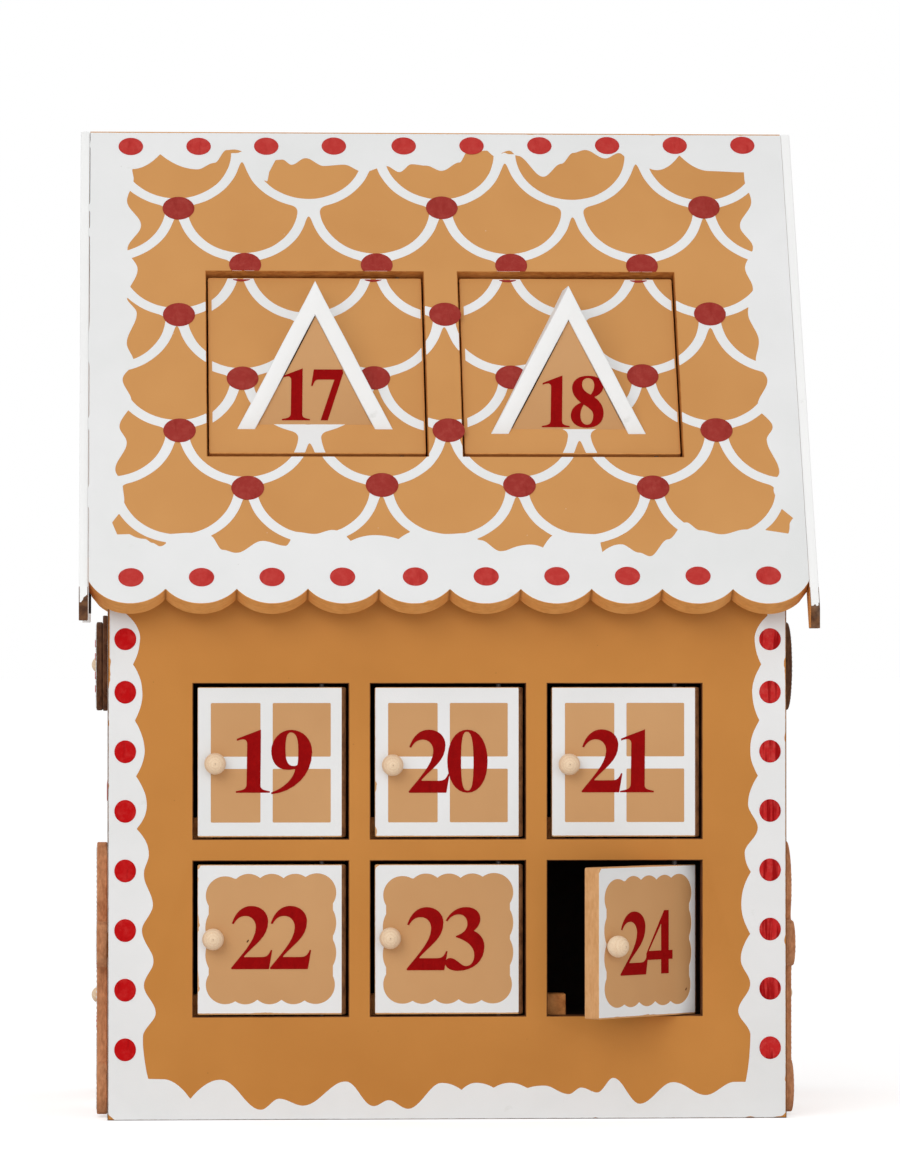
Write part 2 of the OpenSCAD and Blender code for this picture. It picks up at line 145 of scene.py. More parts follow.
class Finish(Tree):
    """Builds one node material. The pattern follows the board that carries it."""

    def __init__(self, name, coords="board"):
        self.mat = bpy.data.materials.new(name)
        self.mat.use_nodes = True
        super().__init__(self.mat.node_tree)
        self.tree.nodes.clear()
        self.shader = self.node("BsdfPrincipled", {})
        self.node("OutputMaterial", {0: self.shader})
        if coords == "board":
            self.place = self.attribute("board", "Vector")
        else:
            self.place = self.node("TexCoord", {}).outputs["Object"]

    def attribute(self, name, out):
        return self.node("Attribute", {}, attribute_name=name).outputs[out]

    def stretched(self, scale):
        return self.node("Mapping", {"Vector": self.place, "Scale": scale}).outputs[0]

    def noise(self, scale, detail=3.0, rough=0.55, place=None):
        return self.node("TexNoise", {"Vector": place or self.place, "Scale": scale, "Detail": detail,
                                      "Roughness": rough}).outputs[0]

    def cells(self, scale, out="Distance"):
        return self.node("TexVoronoi", {"Vector": self.place, "Scale": scale}).outputs[out]

    def step(self, value, low, high, to_low=0.0, to_high=1.0):
        return self.node("MapRange", {"Value": value, "From Min": low, "From Max": high, "To Min": to_low,
                                      "To Max": to_high}).outputs[0]

    def mix(self, factor, a, b):
        """From a to b. Each is a socket, a seen colour or ready light values."""
        a, b = (light_values(c) if isinstance(c, tuple) and len(c) == 3 else c for c in (a, b))
        return self.node("Mix", {0: factor, 6: a, 7: b}, data_type="RGBA").outputs[2]

    def bump(self, height, strength, distance):
        made = self.node("Bump", {"Strength": strength, "Distance": distance, "Height": height})
        self.set(self.shader.inputs["Normal"], made)

    def done(self, colour, rough_from, rough_low, rough_high, specular=0.2):
        for name, value in (("Base Color", colour), ("Specular IOR Level", specular),
                            ("Roughness", self.step(rough_from, 0.3, 0.7, rough_low, rough_high))):
            self.set(self.shader.inputs[name], value)
        return self.mat


def specked(f, tone, scale, size, share, strength, speck):
    """The tone with a few small round specks of another colour."""
    near = f.step(f.cells(scale), size, size * 0.6)
    chosen = f.math("GREATER_THAN", f.cells(scale, "Color"), 1 - share)
    return f.mix(f.math("MULTIPLY", f.math("MULTIPLY", near, chosen), strength), tone, speck)


def flat_paint(name, colour, light, dark, speck, share=0.25):
    """Rolled or printed paint: soft shade changes, a fine tooth and a few specks."""
    f = Finish(name)
    broad = f.noise(14, 3)
    fine = f.noise(1400, 2)
    tone = f.mix(f.step(broad, 0.32, 0.68), dark, light)
    tone = f.mix(f.step(fine, 0.2, 0.8, 0.0, 0.35), tone, colour)
    tone = specked(f, tone, 45, 0.020, share, 0.75, speck)
    tone = specked(f, tone, 130, 0.045, share * 0.5, 0.35, speck)
    f.bump(f.math("ADD", fine, f.noise(90, 3)), 0.12, 0.0003)
    return f.done(tone, fine, 0.5, 0.62)


def worn_white(name, base, grey):
    """White icing paint, a little greyed where hands and dust reach it, with rare brown specks."""
    f = Finish(name)
    broad = f.noise(9, 4, 0.6)
    smudge = f.noise(60, 5, 0.7)
    fine = f.noise(1500, 2)
    tone = f.mix(f.step(broad, 0.35, 0.7), base, grey)
    tone = f.mix(f.step(smudge, 0.66, 0.8, 0.0, 0.55), tone, (214, 214, 208))
    tone = specked(f, tone, 55, 0.022, 0.12, 0.8, (120, 95, 75))
    tone = specked(f, tone, 190, 0.05, 0.06, 0.6, (170, 160, 150))
    f.bump(f.math("ADD", fine, f.noise(120, 3)), 0.15, 0.0003)
    return f.done(tone, fine, 0.45, 0.58)


def red_paint(name, base, light, dark, strokes=0.25, cover=(0.55, 0.75, 0.6)):
    """Red paint laid on by hand: a mottled coat with thin places and upright brush strokes."""
    f = Finish(name)
    patch = f.noise(260, 5, 0.75)
    streak = f.noise(420, 3, 0.6, f.stretched((1.0, 1.0, strokes)))
    tone = f.mix(f.step(patch, 0.45, 0.72), base, light)
    tone = f.mix(f.step(streak, cover[0], cover[1], 0.0, cover[2]), tone, dark)
    f.bump(f.math("ADD", patch, streak), 0.25, 0.0003)
    return f.done(tone, patch, 0.5, 0.65, 0.06)


def sawn_board(name, base, dark, light, coords="board"):
    """Sawn board: long fine fibres across the thickness, with scorched specks."""
    f = Finish(name, coords)
    fibre = f.noise(700, 4, 0.65, f.stretched((0.35, 1.0, 0.35)))
    patch = f.noise(70, 4)
    tone = f.mix(f.step(fibre, 0.35, 0.65), dark, base)
    tone = f.mix(f.step(patch, 0.5, 0.75, 0.0, 0.6), tone, light)
    tone = specked(f, tone, 260, 0.09, 0.2, 0.6, dark)
    char = f.step(f.attribute("char", "Fac"), 0.1, 0.8)
    scorched = f.math("MULTIPLY", char, f.step(fibre, 0.2, 0.6, 0.55, 1.0))
    tone = f.mix(scorched, tone, (62, 30, 12))
    f.bump(fibre, 0.3, 0.0004)
    return f.done(tone, fibre, 0.65, 0.85)


def turned_wood(name):
    """Pale turned beech seen on its end grain: faint rings, fine pores and a mark at the middle."""
    f = Finish(name)
    across = f.node("VectorMath", {0: f.place, 1: (1, 0, 1)}, operation="MULTIPLY")
    radius = f.node("VectorMath", {0: across}, operation="LENGTH").outputs["Value"]
    wander = f.noise(240, 3)
    rings = f.math("SINE", f.math("ADD", f.math("MULTIPLY", radius, 5200), f.math("MULTIPLY", wander, 9)))
    pores = f.noise(2600, 3, 0.7)
    tone = f.mix(f.step(rings, -1, 1, 0.0, 0.45), (246, 220, 188), (232, 198, 160))
    tone = f.mix(f.step(pores, 0.52, 0.75, 0.0, 0.6), tone, (190, 148, 108))
    mark = f.math("MULTIPLY", f.step(radius, 0.00045, 0.0001), 0.7)
    tone = f.mix(mark, tone, (150, 105, 75))
    f.bump(f.math("ADD", pores, rings), 0.12, 0.0002)
    return f.done(tone, pores, 0.42, 0.6)


# Steel darkened far below bare drawn wire, so the rods look as dark as the shaded gaps they sit in: painted shade.
def drawn_steel(name):
    f = Finish(name, "object")
    lines = f.noise(900, 3, 0.6, f.stretched((1.0, 1.0, 0.05)))
    tone = f.mix(f.step(lines, 0.3, 0.7), (0.05, 0.05, 0.052, 1), (0.10, 0.10, 0.105, 1))
    f.shader.inputs["Metallic"].default_value = 1.0
    f.bump(lines, 0.2, 0.0001)
    return f.done(tone, lines, 0.45, 0.6, 0.5)


FINISHES = {
    "wall_tan": flat_paint("wall_tan", (200, 133, 60), (204, 137, 64), (193, 127, 56), (126, 78, 34)),
    # The roof has the walls' paint; its paler, whiter tan is a painted sheen from the light above.
    "roof_tan": flat_paint("roof_tan", (209, 150, 87), (213, 154, 91), (204, 144, 82), (238, 232, 222), 0.4),
    "light_tan": flat_paint("light_tan", (206, 156, 105), (210, 160, 109), (201, 150, 99), (128, 84, 50)),
    "white": worn_white("icing_white", (240, 240, 240), (231, 232, 231)),
    "barge_white": worn_white("barge_white", (252, 252, 251), (246, 246, 245)),
    "dormer_white": worn_white("dormer_white", (248, 248, 247), (241, 241, 240)),
    "red": red_paint("berry_red", (192, 10, 14), (202, 44, 42), (160, 4, 8)),
    "brushed_red": red_paint("brushed_red", (198, 38, 38), (206, 70, 66), (150, 0, 4), 0.08, (0.47, 0.58, 0.9)),
    "eave_red": red_paint("eave_red", (192, 56, 52), (200, 72, 66), (172, 38, 36)),
    "roof_red": red_paint("roof_red", (158, 52, 46), (170, 68, 60), (142, 38, 32)),
    "number_red": red_paint("number_red", (146, 0, 2), (160, 8, 8), (130, 0, 0)),
    "cut_tan": sawn_board("painted_edge", (230, 164, 92), (214, 146, 76), (238, 178, 108)),
    "cut_light": sawn_board("light_edge", (224, 172, 120), (210, 155, 100), (232, 184, 134)),
    "cut_raw": sawn_board("raw_edge", (128, 84, 48), (84, 48, 24), (160, 112, 70)),
    "reveal": sawn_board("opening_edge", (112, 66, 30), (76, 40, 16), (150, 96, 50)),
    "roof_reveal": sawn_board("roof_opening_edge", (186, 118, 54), (150, 86, 32), (204, 138, 72)),
    # Near black: painted shade for the dark inside, on the backs of the walls.
    "inner": sawn_board("wall_back", (44, 24, 12), (28, 14, 8), (58, 34, 20)),
    # The stop blocks sit in the shade inside; their colour is lightened to stand in for light reaching them: painted
    # light.
    "block": sawn_board("block_board", (214, 142, 78), (170, 100, 48), (232, 166, 100)),
    "barge_end": sawn_board("barge_end", (120, 82, 54), (74, 44, 26), (176, 150, 128)),
    "cookie": sawn_board("cookie_board", (116, 76, 50), (76, 44, 26), (140, 98, 68)),
    "icing_brown": flat_paint("cookie_face", (92, 56, 34), (100, 62, 38), (80, 47, 28), (140, 100, 70)),
    "figure_edge": sawn_board("figure_edge", (216, 152, 108), (180, 118, 79), (228, 170, 127)),
    "figure_face": flat_paint("figure_face", (172, 112, 74), (178, 118, 80), (160, 100, 64), (120, 72, 46)),
    "knob": turned_wood("knob_beech"),
    # Near black: painted shade, for the boards inside and for dark places in shade outside.
    "dark_board": sawn_board("inside_board", (40, 22, 12), (24, 12, 7), (54, 32, 20), "object"),
    "base": sawn_board("base_underside", (120, 82, 50), (92, 60, 34), (146, 104, 68), "object"),
    "steel": drawn_steel("hinge_wire"),
}


# ---- Outlines: loops of (x, z), material on the left as they run ----

def rectangle(x0, x1, z0, z1, r=0.0, steps=4):
    """Anticlockwise, with corners rounded by r."""
    if r <= 0:
        return np.array([(x0, z0), (x1, z0), (x1, z1), (x0, z1)], float)
    points = []
    for cx, cz, start in ((x1 - r, z0 + r, -90), (x1 - r, z1 - r, 0), (x0 + r, z1 - r, 90), (x0 + r, z0 + r, 180)):
        for i in range(steps + 1):
            a = math.radians(start + 90 * i / steps)
            points.append((cx + r * math.cos(a), cz + r * math.sin(a)))
    return np.array(points)


def circle(cx, cz, r, n=64):
    a = np.arange(n) * 2 * math.pi / n
    return np.column_stack([cx + r * np.cos(a), cz + r * np.sin(a)])


def offset(loop, by):
    """Moves a loop into the material by that much."""
    def unit(v):
        return v / np.maximum(np.linalg.norm(v, axis=1), 1e-9)[:, None]
    a = unit(loop - np.roll(loop, 1, 0))
    b = unit(np.roll(loop, -1, 0) - loop)
    na, nb = np.column_stack([-a[:, 1], a[:, 0]]), np.column_stack([-b[:, 1], b[:, 0]])
    m = unit(na + nb)
    return loop + m * (by / np.maximum((m * na).sum(1), 0.5))[:, None]


def edges_beside(points, a, b):
    """How many of the edges from a to b lie level with each point at its right."""
    x, z = points[:, 0:1], points[:, 1:2]
    level = (a[:, 1] > z) != (b[:, 1] > z)
    rise = np.where(b[:, 1] == a[:, 1], 1e-12, b[:, 1] - a[:, 1])
    return (level & (x < a[:, 0] + (z - a[:, 1]) * (b[:, 0] - a[:, 0]) / rise)).sum(1)


def signed_area(l):
    return 0.5 * (np.dot(l[:, 0], np.roll(l[:, 1], -1)) - np.dot(l[:, 1], np.roll(l[:, 0], -1)))


def fill(loops):
    """Triangles over the area inside the loops, anticlockwise."""
    points = np.vstack(loops)
    starts = np.cumsum([0] + [len(l) for l in loops])
    edges = [(s + i, s + (i + 1) % n) for s, n in zip(starts, map(len, loops)) for i in range(n)]
    verts, _, faces, origin, _, _ = delaunay_2d_cdt([Vector(p) for p in points], edges, [], 1, 1e-6)
    back = [o[0] if o else -1 for o in origin]
    tris = np.array([[back[i] for i in f] for f in faces])
    tris = tris[(tris >= 0).all(1)]
    mid = points[tris].mean(1)
    ends = points[[e[1] for e in edges]]
    inside = [edges_beside(mid[s:s + 400], points, ends) % 2 == 1 for s in range(0, len(mid), 400)]
    tris = tris[np.concatenate(inside)]
    p = points[tris]
    turn = (p[:, 1, 0] - p[:, 0, 0]) * (p[:, 2, 1] - p[:, 0, 1]) - (p[:, 1, 1] - p[:, 0, 1]) * (p[:, 2, 0] - p[:, 0, 0])
    tris[turn < 0] = tris[turn < 0][:, ::-1]
    return tris[np.abs(turn) > 1e-9]


# ---- Painted shapes: a field is below 0 where there is paint ----

def disc(x, z, cx, cz, rx, rz=None):
    rz = rz or rx
    return (np.hypot((x - cx) / rx, (z - cz) / rz) - 1) * min(rx, rz)


def block(x, z, x0, x1, z0, z1):
    return np.maximum(np.maximum(x0 - x, x - x1), np.maximum(z0 - z, z - z1))


def arc(x, z, cx, cz, r, width):
    """The lower half of a ring."""
    return np.maximum(np.abs(np.hypot(x - cx, z - cz) - r) - width / 2, z - cz)


def joined(fields):
    low = fields[0]
    for f in fields[1:]:
        low = np.minimum(low, f)
    return low


def common(fields):
    return -joined([-f for f in fields])


def wave(knots, t):
    """A hand-drawn edge through (place, height, sharp) knots: round between smooth knots, lobed from sharp ones."""
    at, to = [], []
    knots = sorted(k if len(k) == 3 else k + (0,) for k in knots)
    for (t0, v0, c0), (t1, v1, c1) in zip(knots, knots[1:]):
        for i in range(12):
            u = i / 12
            ease = u if c0 and c1 else 1 - (1 - u) ** 2 if c0 else u * u if c1 else 0.5 - 0.5 * math.cos(math.pi * u)
            at.append(t0 + (t1 - t0) * u)
            to.append(v0 + (v1 - v0) * ease)
    at.append(knots[-1][0])
    to.append(knots[-1][1])
    return np.interp(t, at, to)


def ripple(x, z, cell, seed):
    """Smooth random height from 0 to 1 with bumps about one cell wide."""
    table = np.random.default_rng(seed).random((256, 256))
    u, v = x / cell + 400.5, z / cell + 400.5
    i, j = np.floor(u).astype(int), np.floor(v).astype(int)
    fu, fv = u - i, v - j
    fu, fv = fu * fu * (3 - 2 * fu), fv * fv * (3 - 2 * fv)
    a, b = table[i % 256, j % 256], table[(i + 1) % 256, j % 256]
    c, d = table[i % 256, (j + 1) % 256], table[(i + 1) % 256, (j + 1) % 256]
    return (a * (1 - fu) + b * fu) * (1 - fv) + (c * (1 - fu) + d * fu) * fv


def chips(x, z, margin, seed, deep=1.6, rare=0.74):
    """How far paint stops short of a board's edge: a thin line with small bites."""
    slow = ripple(x, z, 7.0, seed)
    fast = ripple(x, z, 1.3, seed + 1)
    return margin + deep * np.clip((slow - rare) / (1 - rare), 0, 1) * (0.4 + fast) + 0.12 * (fast - 0.5)


def painted_outline(field_of, x0, x1, z0, z1, step=0.4, keep=0.03, least=0.5):
    """Loops round the area where the field is below 0, found cell by cell on a fine grid."""
    xs = np.arange(x0 - step, x1 + 1.5 * step, step)
    zs = np.arange(z0 - step, z1 + 1.5 * step, step)
    gx, gz = np.meshgrid(xs, zs, indexing="ij")
    f = np.asarray(field_of(gx, gz), float)
    f[np.abs(f) < 1e-4] = 1e-4
    f[0] = f[-1] = np.maximum(f[0], step) + step
    f[:, 0], f[:, -1] = np.abs(f[:, 0]) + step, np.abs(f[:, -1]) + step
    below = f < 0
    code = below[:-1, :-1] * 1 + below[1:, :-1] * 2 + below[1:, 1:] * 4 + below[:-1, 1:] * 8
    runs = {1: [(0, 3)], 2: [(1, 0)], 4: [(2, 1)], 8: [(3, 2)], 3: [(1, 3)], 6: [(2, 0)], 12: [(3, 1)], 9: [(0, 2)],
            7: [(2, 3)], 11: [(1, 2)], 13: [(0, 1)], 14: [(3, 0)], 5: [(0, 3), (2, 1)], 10: [(1, 0), (3, 2)]}

    def side(i, j, k):
        return ((0, i, j), (1, i + 1, j), (0, i, j + 1), (1, i, j))[k]

    follow = {}
    for i, j in zip(*np.nonzero((code > 0) & (code < 15))):
        for a, b in runs[int(code[i, j])]:
            follow[side(int(i), int(j), a)] = side(int(i), int(j), b)

    def crossing(key):
        kind, i, j = key
        a, b = f[i, j], (f[i + 1, j] if kind == 0 else f[i, j + 1])
        t = min(max(a / (a - b), 0.03), 0.97)
        return (xs[i] + t * step, zs[j]) if kind == 0 else (xs[i], zs[j] + t * step)

    loops = []
    while follow:
        first, here = follow.popitem()
        loop = [first]
        while here != first:
            loop.append(here)
            here = follow.pop(here)
        loop = np.array([crossing(k) for k in loop])
        if abs(signed_area(loop)) > least:
            loops.append(thinned(loop, keep))
    return loops


def thinned(loop, keep):
    """Drops points that a straight run replaces within that distance."""
    n = len(loop)
    far = int(np.argmax(((loop - loop[0]) ** 2).sum(1)))
    points = np.vstack([loop, loop[:1]])
    kept = {0, far}
    todo = [(0, far), (far, n)]
    while todo:
        a, b = todo.pop()
        if b - a < 2:
            continue
        line = points[b] - points[a]
        length = max(np.hypot(*line), 1e-9)
        rest = points[a + 1:b] - points[a]
        away = np.abs(rest[:, 0] * line[1] - rest[:, 1] * line[0]) / length
        k = int(np.argmax(away))
        if away[k] > keep:
            kept.add(a + 1 + k)
            todo += [(a, a + 1 + k), (a + 1 + k, b)]
    return loop[sorted(kept)]


# ---- Numerals, drawn on a square of 100 units ----

NUMERALS = {
    "0": "M 32 100 C 12 100 0 78 0 50 C 0 22 12 0 32 0 C 52 0 64 22 64 50 C 64 78 52 100 32 100 Z M 31 96.8 C 25 "
         "96.8 21.8 88 21.8 52 C 21.8 12 25 3.3 32 3.3 C 39 3.3 41.7 12 41.7 50 C 41.7 88 37 96.8 31 96.8 Z",
    "1": "M 1.6 82.1 L 1.6 85.3 C 14 90.5 27 95 39.8 100 L 39 12 C 39 5.5 43 4.5 53.7 2.4 L 53.7 0 L 0 0 L 0 2.4 "
         "C 11 4.5 17 5 17 14 L 17.9 77 C 18 84 13 85 10 84.4 C 7 84 4 82.9 1.6 82.1 Z",
    "2": "M 1.3 72.3 C 7 90 18 100 32 100 C 48 100 58.7 89 58.7 75.7 C 58.7 50 38 40 20.7 20.5 L 20.7 19.1 L 46 "
         "19.1 C 55 19.1 59 20 63 30.4 L 65.2 30 L 60.2 0.8 L 59.5 0 L 1 0 L 0 1.9 C 14 20 39.3 45 39.3 66 C "
         "39.3 77 32 84.1 23 84.1 C 14.5 84.1 9 80 4.2 71.4 Z",
    "3": "M 0.8 78.5 C 8 92 19 100 33.5 100 C 47 100 55.8 92 55.8 82 C 55.8 73 51 66.5 45.4 62.6 C 56 57.5 62.2 "
         "49 62.2 37.5 C 62.2 14 44 -1 20 -1 C 8 -1 0 4.5 0 11 C 0 15.5 3 19.4 8 19.4 C 18 19.4 25 6.5 33 6.5 C "
         "41 6.5 46.2 14 46.2 24 C 46.2 38 34 47 17 52.4 L 17 54.2 C 28 58 35.3 64 35.3 73.5 C 35.3 82.5 29.5 "
         "88.4 21.8 88.4 C 14.5 88.4 8.5 85 3.6 77.6 Z",
    "4": "M 42 100 L 52.5 100 L 52.5 36.6 L 61.6 36.6 L 61.6 22.5 L 52.5 22.5 L 52.5 0 L 35 0 L 35 22.5 L 0 22.5 "
         "L 0 33 Z M 35 80 L 35 36.6 L 5 36.6 Z",
    "5": "M 14.5 98 L 55 98 L 50.5 82 L 19.5 82 L 16 66 C 42 66 61 54 61 34 C 61 12 44 -1 20 -1 C 8 -1 0 4.5 0 "
         "11 C 0 15.5 3 19.4 8 19.4 C 18 19.4 25 6 33 6 C 40.5 6 45.5 13 45.5 22 C 45.5 38 28 46 7 47.5 Z",
    "7": "M 5.4 98 L 60.8 98 L 62 91.5 L 32.2 0 L 18.5 0 L 44.9 78.5 L 16 78.5 C 9 78.5 6.5 76 2.9 66 L 0.3 66.6 "
         "Z",
    "8": "M 33.8 99.5 C 14 99.5 2.5 90 2.5 76 C 2.5 64 10 55 19.6 47.6 C 8 43 0 35 0 22.4 C 0 8 13 -1 31 -1 C 50 "
         "-1 63.4 9 63.4 27 C 63.4 42 55 52 45.2 58.6 C 56 62 63.2 71 63.2 80 C 63.2 92 51 99.5 33.8 99.5 Z M 33 "
         "95 C 26 95 21.7 90 21.7 83 C 21.7 74 28 68 38.3 63 C 42 67 45.4 74 45.4 81 C 45.4 90 40 95 33 95 Z M "
         "24.9 43.8 C 21 38 18.4 31 18.4 23 C 18.4 12 24 5 31.3 5 C 39 5 43.4 12 43.4 23 C 43.4 31 38 36 24.9 "
         "43.8 Z",
    "9": "M 31.4 99.5 C 14 99.5 0 84 0 65.9 C 0 49 9 36.3 25 36.3 C 30 36.3 35 37 38 37.5 C 36 24 22 8 0 0.5 L 0 "
         "-2.4 C 36 1 64.7 28 64.7 64.2 C 64.7 85 50 99.5 31.4 99.5 Z M 31 95.4 C 25.5 95.4 22.4 88 22.4 70 C "
         "22.4 55 24 42.3 35 42.3 C 38 42.3 41 43 41.5 44.5 C 42.8 52 42.8 60 42.8 70 C 42.8 88 38 95.4 31 95.4 "
         "Z",
}
NUMERAL_STEP = {"0": 64, "1": 56, "2": 61.5, "3": 62, "4": 62, "5": 62, "6": 65, "7": 60, "8": 64, "9": 65}
NUMERAL_WIDTH = {"0": 64, "1": 53.7, "2": 65.2, "3": 62.2, "4": 61.6, "5": 61, "6": 64.7, "7": 62, "8": 63.4, "9": 64.7}


def numeral_loops(digit):
    if digit == "6":
        return [np.column_stack([64.7 - l[:, 0], 97.5 - l[:, 1]]) for l in numeral_loops("9")]
    loops, here, words = [], [], NUMERALS[digit].split()
    while words:
        command = words.pop(0)
        if command == "Z":
            loops.append(np.array(here))
            here = []
            continue
        pairs = {"M": 1, "L": 1, "C": 3}[command]
        p = [(float(words.pop(0)), float(words.pop(0))) for _ in range(pairs)]
        if command == "C":
            a = here[-1]
            for i in range(1, 9):
                t = i / 8
                w = ((1 - t) ** 3, 3 * t * (1 - t) ** 2, 3 * t * t * (1 - t), t ** 3)
                here.append(tuple(sum(k * q[c] for k, q in zip(w, (a, *p))) for c in (0, 1)))
        else:
            here.append(p[0])
    return [tidied(l) for l in loops]


def tidied(loop):
    """Without repeated points."""
    return loop[np.hypot(*(loop - np.roll(loop, 1, 0)).T) > 1e-3]


def number_coats(shell, number, cx, cz, height, y, mirror=False):
    """Paints a whole number centred on a point of the plan, one figure after the other."""
    text, figures, x = str(number), [], 0.0
    for digit in text:
        figures.append([l + (x, 0) for l in numeral_loops(digit)])
        width = x + NUMERAL_WIDTH[digit]
        x += NUMERAL_STEP[digit]
    k, side = height / 100, -1 if mirror else 1
    for i, loops in enumerate(figures):
        placed = [np.column_stack([cx + side * (l[:, 0] - width / 2) * k, cz + (l[:, 1] - 50) * k]) for l in loops]
        shell.coat(oriented(placed), y, "number_red", RED_T + 0.02 * i)


def oriented(loops):
    """Outer loops anticlockwise, loops inside another one clockwise."""
    out = []
    for l in loops:
        round_it = sum(int(edges_beside(l[:1], o, np.roll(o, -1, 0))[0]) for o in loops if o is not l)
        anticlockwise = signed_area(l) > 0
        out.append(l if anticlockwise == (round_it % 2 == 0) else l[::-1])
    return out


# ---- Shells: closed shapes in one plan, made into one mesh ----

# From each face's plan into the house; the back's two are the front's, turned round
HALF_TURN = Matrix.Rotation(math.pi, 4, "Z")
PLANS = {
    "world": Matrix.Identity(4),
    "front": Matrix.Translation((0, -BODY_D / 2, 0)),
    "front roof": Matrix.Translation((0, -EAVE_Y, EAVE_Z)) @ Matrix.Rotation(PITCH - math.pi / 2, 4, "X"),
}
for side, angle in (("right", math.pi / 2), ("left", -math.pi / 2)):
    PLANS[side] = Matrix.Rotation(angle, 4, "Z") @ Matrix.Translation((0, -BODY_W / 2, 0))
for front, back in (("front", "back"), ("front roof", "back roof")):
    PLANS[back] = HALF_TURN @ PLANS[front]


def into_house(points, faces, face, flip=False, place=None):
    """Points and faces moved from a face's plan into the house, mirrored first where asked."""
    if flip:
        points, faces = points * (-1, 1, 1), [f[::-1] for f in faces]
    m = np.array(place or PLANS[face])
    return points @ m[:3, :3].T + m[:3, 3], faces


def at_depth(loops, y):
    return [np.column_stack([l[:, 0], np.full(len(l), float(y)), l[:, 1]]) for l in loops]


class Shell:
    def __init__(self):
        self.points, self.faces, self.paint, self.smooth = [], [], [], []
        self.count = 0

    def add(self, points, faces, paint, smooth=False):
        points = np.asarray(points, float)
        faces = [tuple(int(i) + self.count for i in f) for f in faces]
        self.points.append(points)
        self.count += len(points)
        self.faces += faces
        self.paint += paint if isinstance(paint, list) else [paint] * len(faces)
        self.smooth += [smooth] * len(faces)

    def stack(self, layers, front, side, back):
        """Joins layers of loops from front to back and closes both ends. side may be a rule for the place."""
        flat = [np.column_stack([l[:, 0], l[:, 2]]) for l in layers[0]]
        caps = fill(flat)
        n = sum(len(l) for l in flat)
        points = np.vstack([np.vstack(layer) for layer in layers])
        last = (len(layers) - 1) * n
        walls = []
        start = 0
        for l in flat:
            m = len(l)
            i = np.arange(m) + start
            k = np.roll(i, -1)
            for level in range(len(layers) - 1):
                a, b = level * n, (level + 1) * n
                walls.append(np.column_stack([i + a, i + b, k + b, k + a]))
            start += m
        walls = np.vstack(walls)
        if callable(side):
            side = [side(m) for m in points[walls].mean(1)]
        self.add(points, walls, side, True)
        base = self.count - len(points)
        for closing, paint in ((caps + base, front), (caps[:, ::-1] + base + last, back)):
            self.faces += [tuple(map(int, t)) for t in closing]
            self.paint += [paint] * len(caps)
            self.smooth += [False] * len(caps)

    def panel(self, loops, near, far, front, side, back, ease=EASE):
        """A board with its front edges rounded and its back edges eased."""
        layers = []
        for i in range(4):
            a = math.pi / 2 * i / 3
            smaller = [offset(l, ease * (1 - math.sin(a))) for l in loops]
            layers.append(at_depth(smaller, near + ease * (1 - math.cos(a))))
        layers += [at_depth(loops, far - ease), at_depth([offset(l, ease) for l in loops], far)]
        self.stack(layers, front, side, back)

    def coat(self, loops, y, paint, thick=PAINT_T):
        """Paint on a surface at depth y."""
        if loops:
            self.stack([at_depth(loops, y - thick), at_depth(loops, y + PAINT_SINK)], paint, paint, paint)

    def make(self, name, face, flip=False, swing=None, origin=(0, 0, 0), char=None, place=None):
        """Puts the shell on its face of the house. swing is (x, y, angle) of a hinge rod."""
        points = np.vstack(self.points)
        pattern = points - np.array(origin)
        if char is not None:
            scorch = char(points)
        if swing:
            x, y, angle = swing
            c, s = math.cos(angle), math.sin(angle)
            dx, dy = points[:, 0] - x, points[:, 1] - y
            points = np.column_stack([x + dx * c - dy * s, y + dx * s + dy * c, points[:, 2]])
        points, faces = into_house(points, self.faces, face, flip, place)
        mesh = bpy.data.meshes.new(name)
        mesh.from_pydata((points * 0.001).tolist(), [], faces)
        kinds = sorted(set(self.paint))
        for kind in kinds:
            mesh.materials.append(FINISHES[kind])
        mesh.polygons.foreach_set("material_index", [kinds.index(p) for p in self.paint])
        mesh.polygons.foreach_set("use_smooth", self.smooth)
        mesh.attributes.new("board", "FLOAT_VECTOR", "POINT").data.foreach_set("vector", (pattern * 0.001).ravel())
        if char is not None:
            mesh.attributes.new("char", "FLOAT", "POINT").data.foreach_set("value", scorch)
        mesh.set_sharp_from_angle(angle=math.radians(38))
        mesh.validate()
        piece = bpy.data.objects.new(name, mesh)
        bpy.context.scene.collection.objects.link(piece)
        return piece


def settle(piece, body, slot, *nodes):
    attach(piece, body)
    if nodes:
        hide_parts(*nodes)


# ---- Shapes that repeat, made by node trees ----

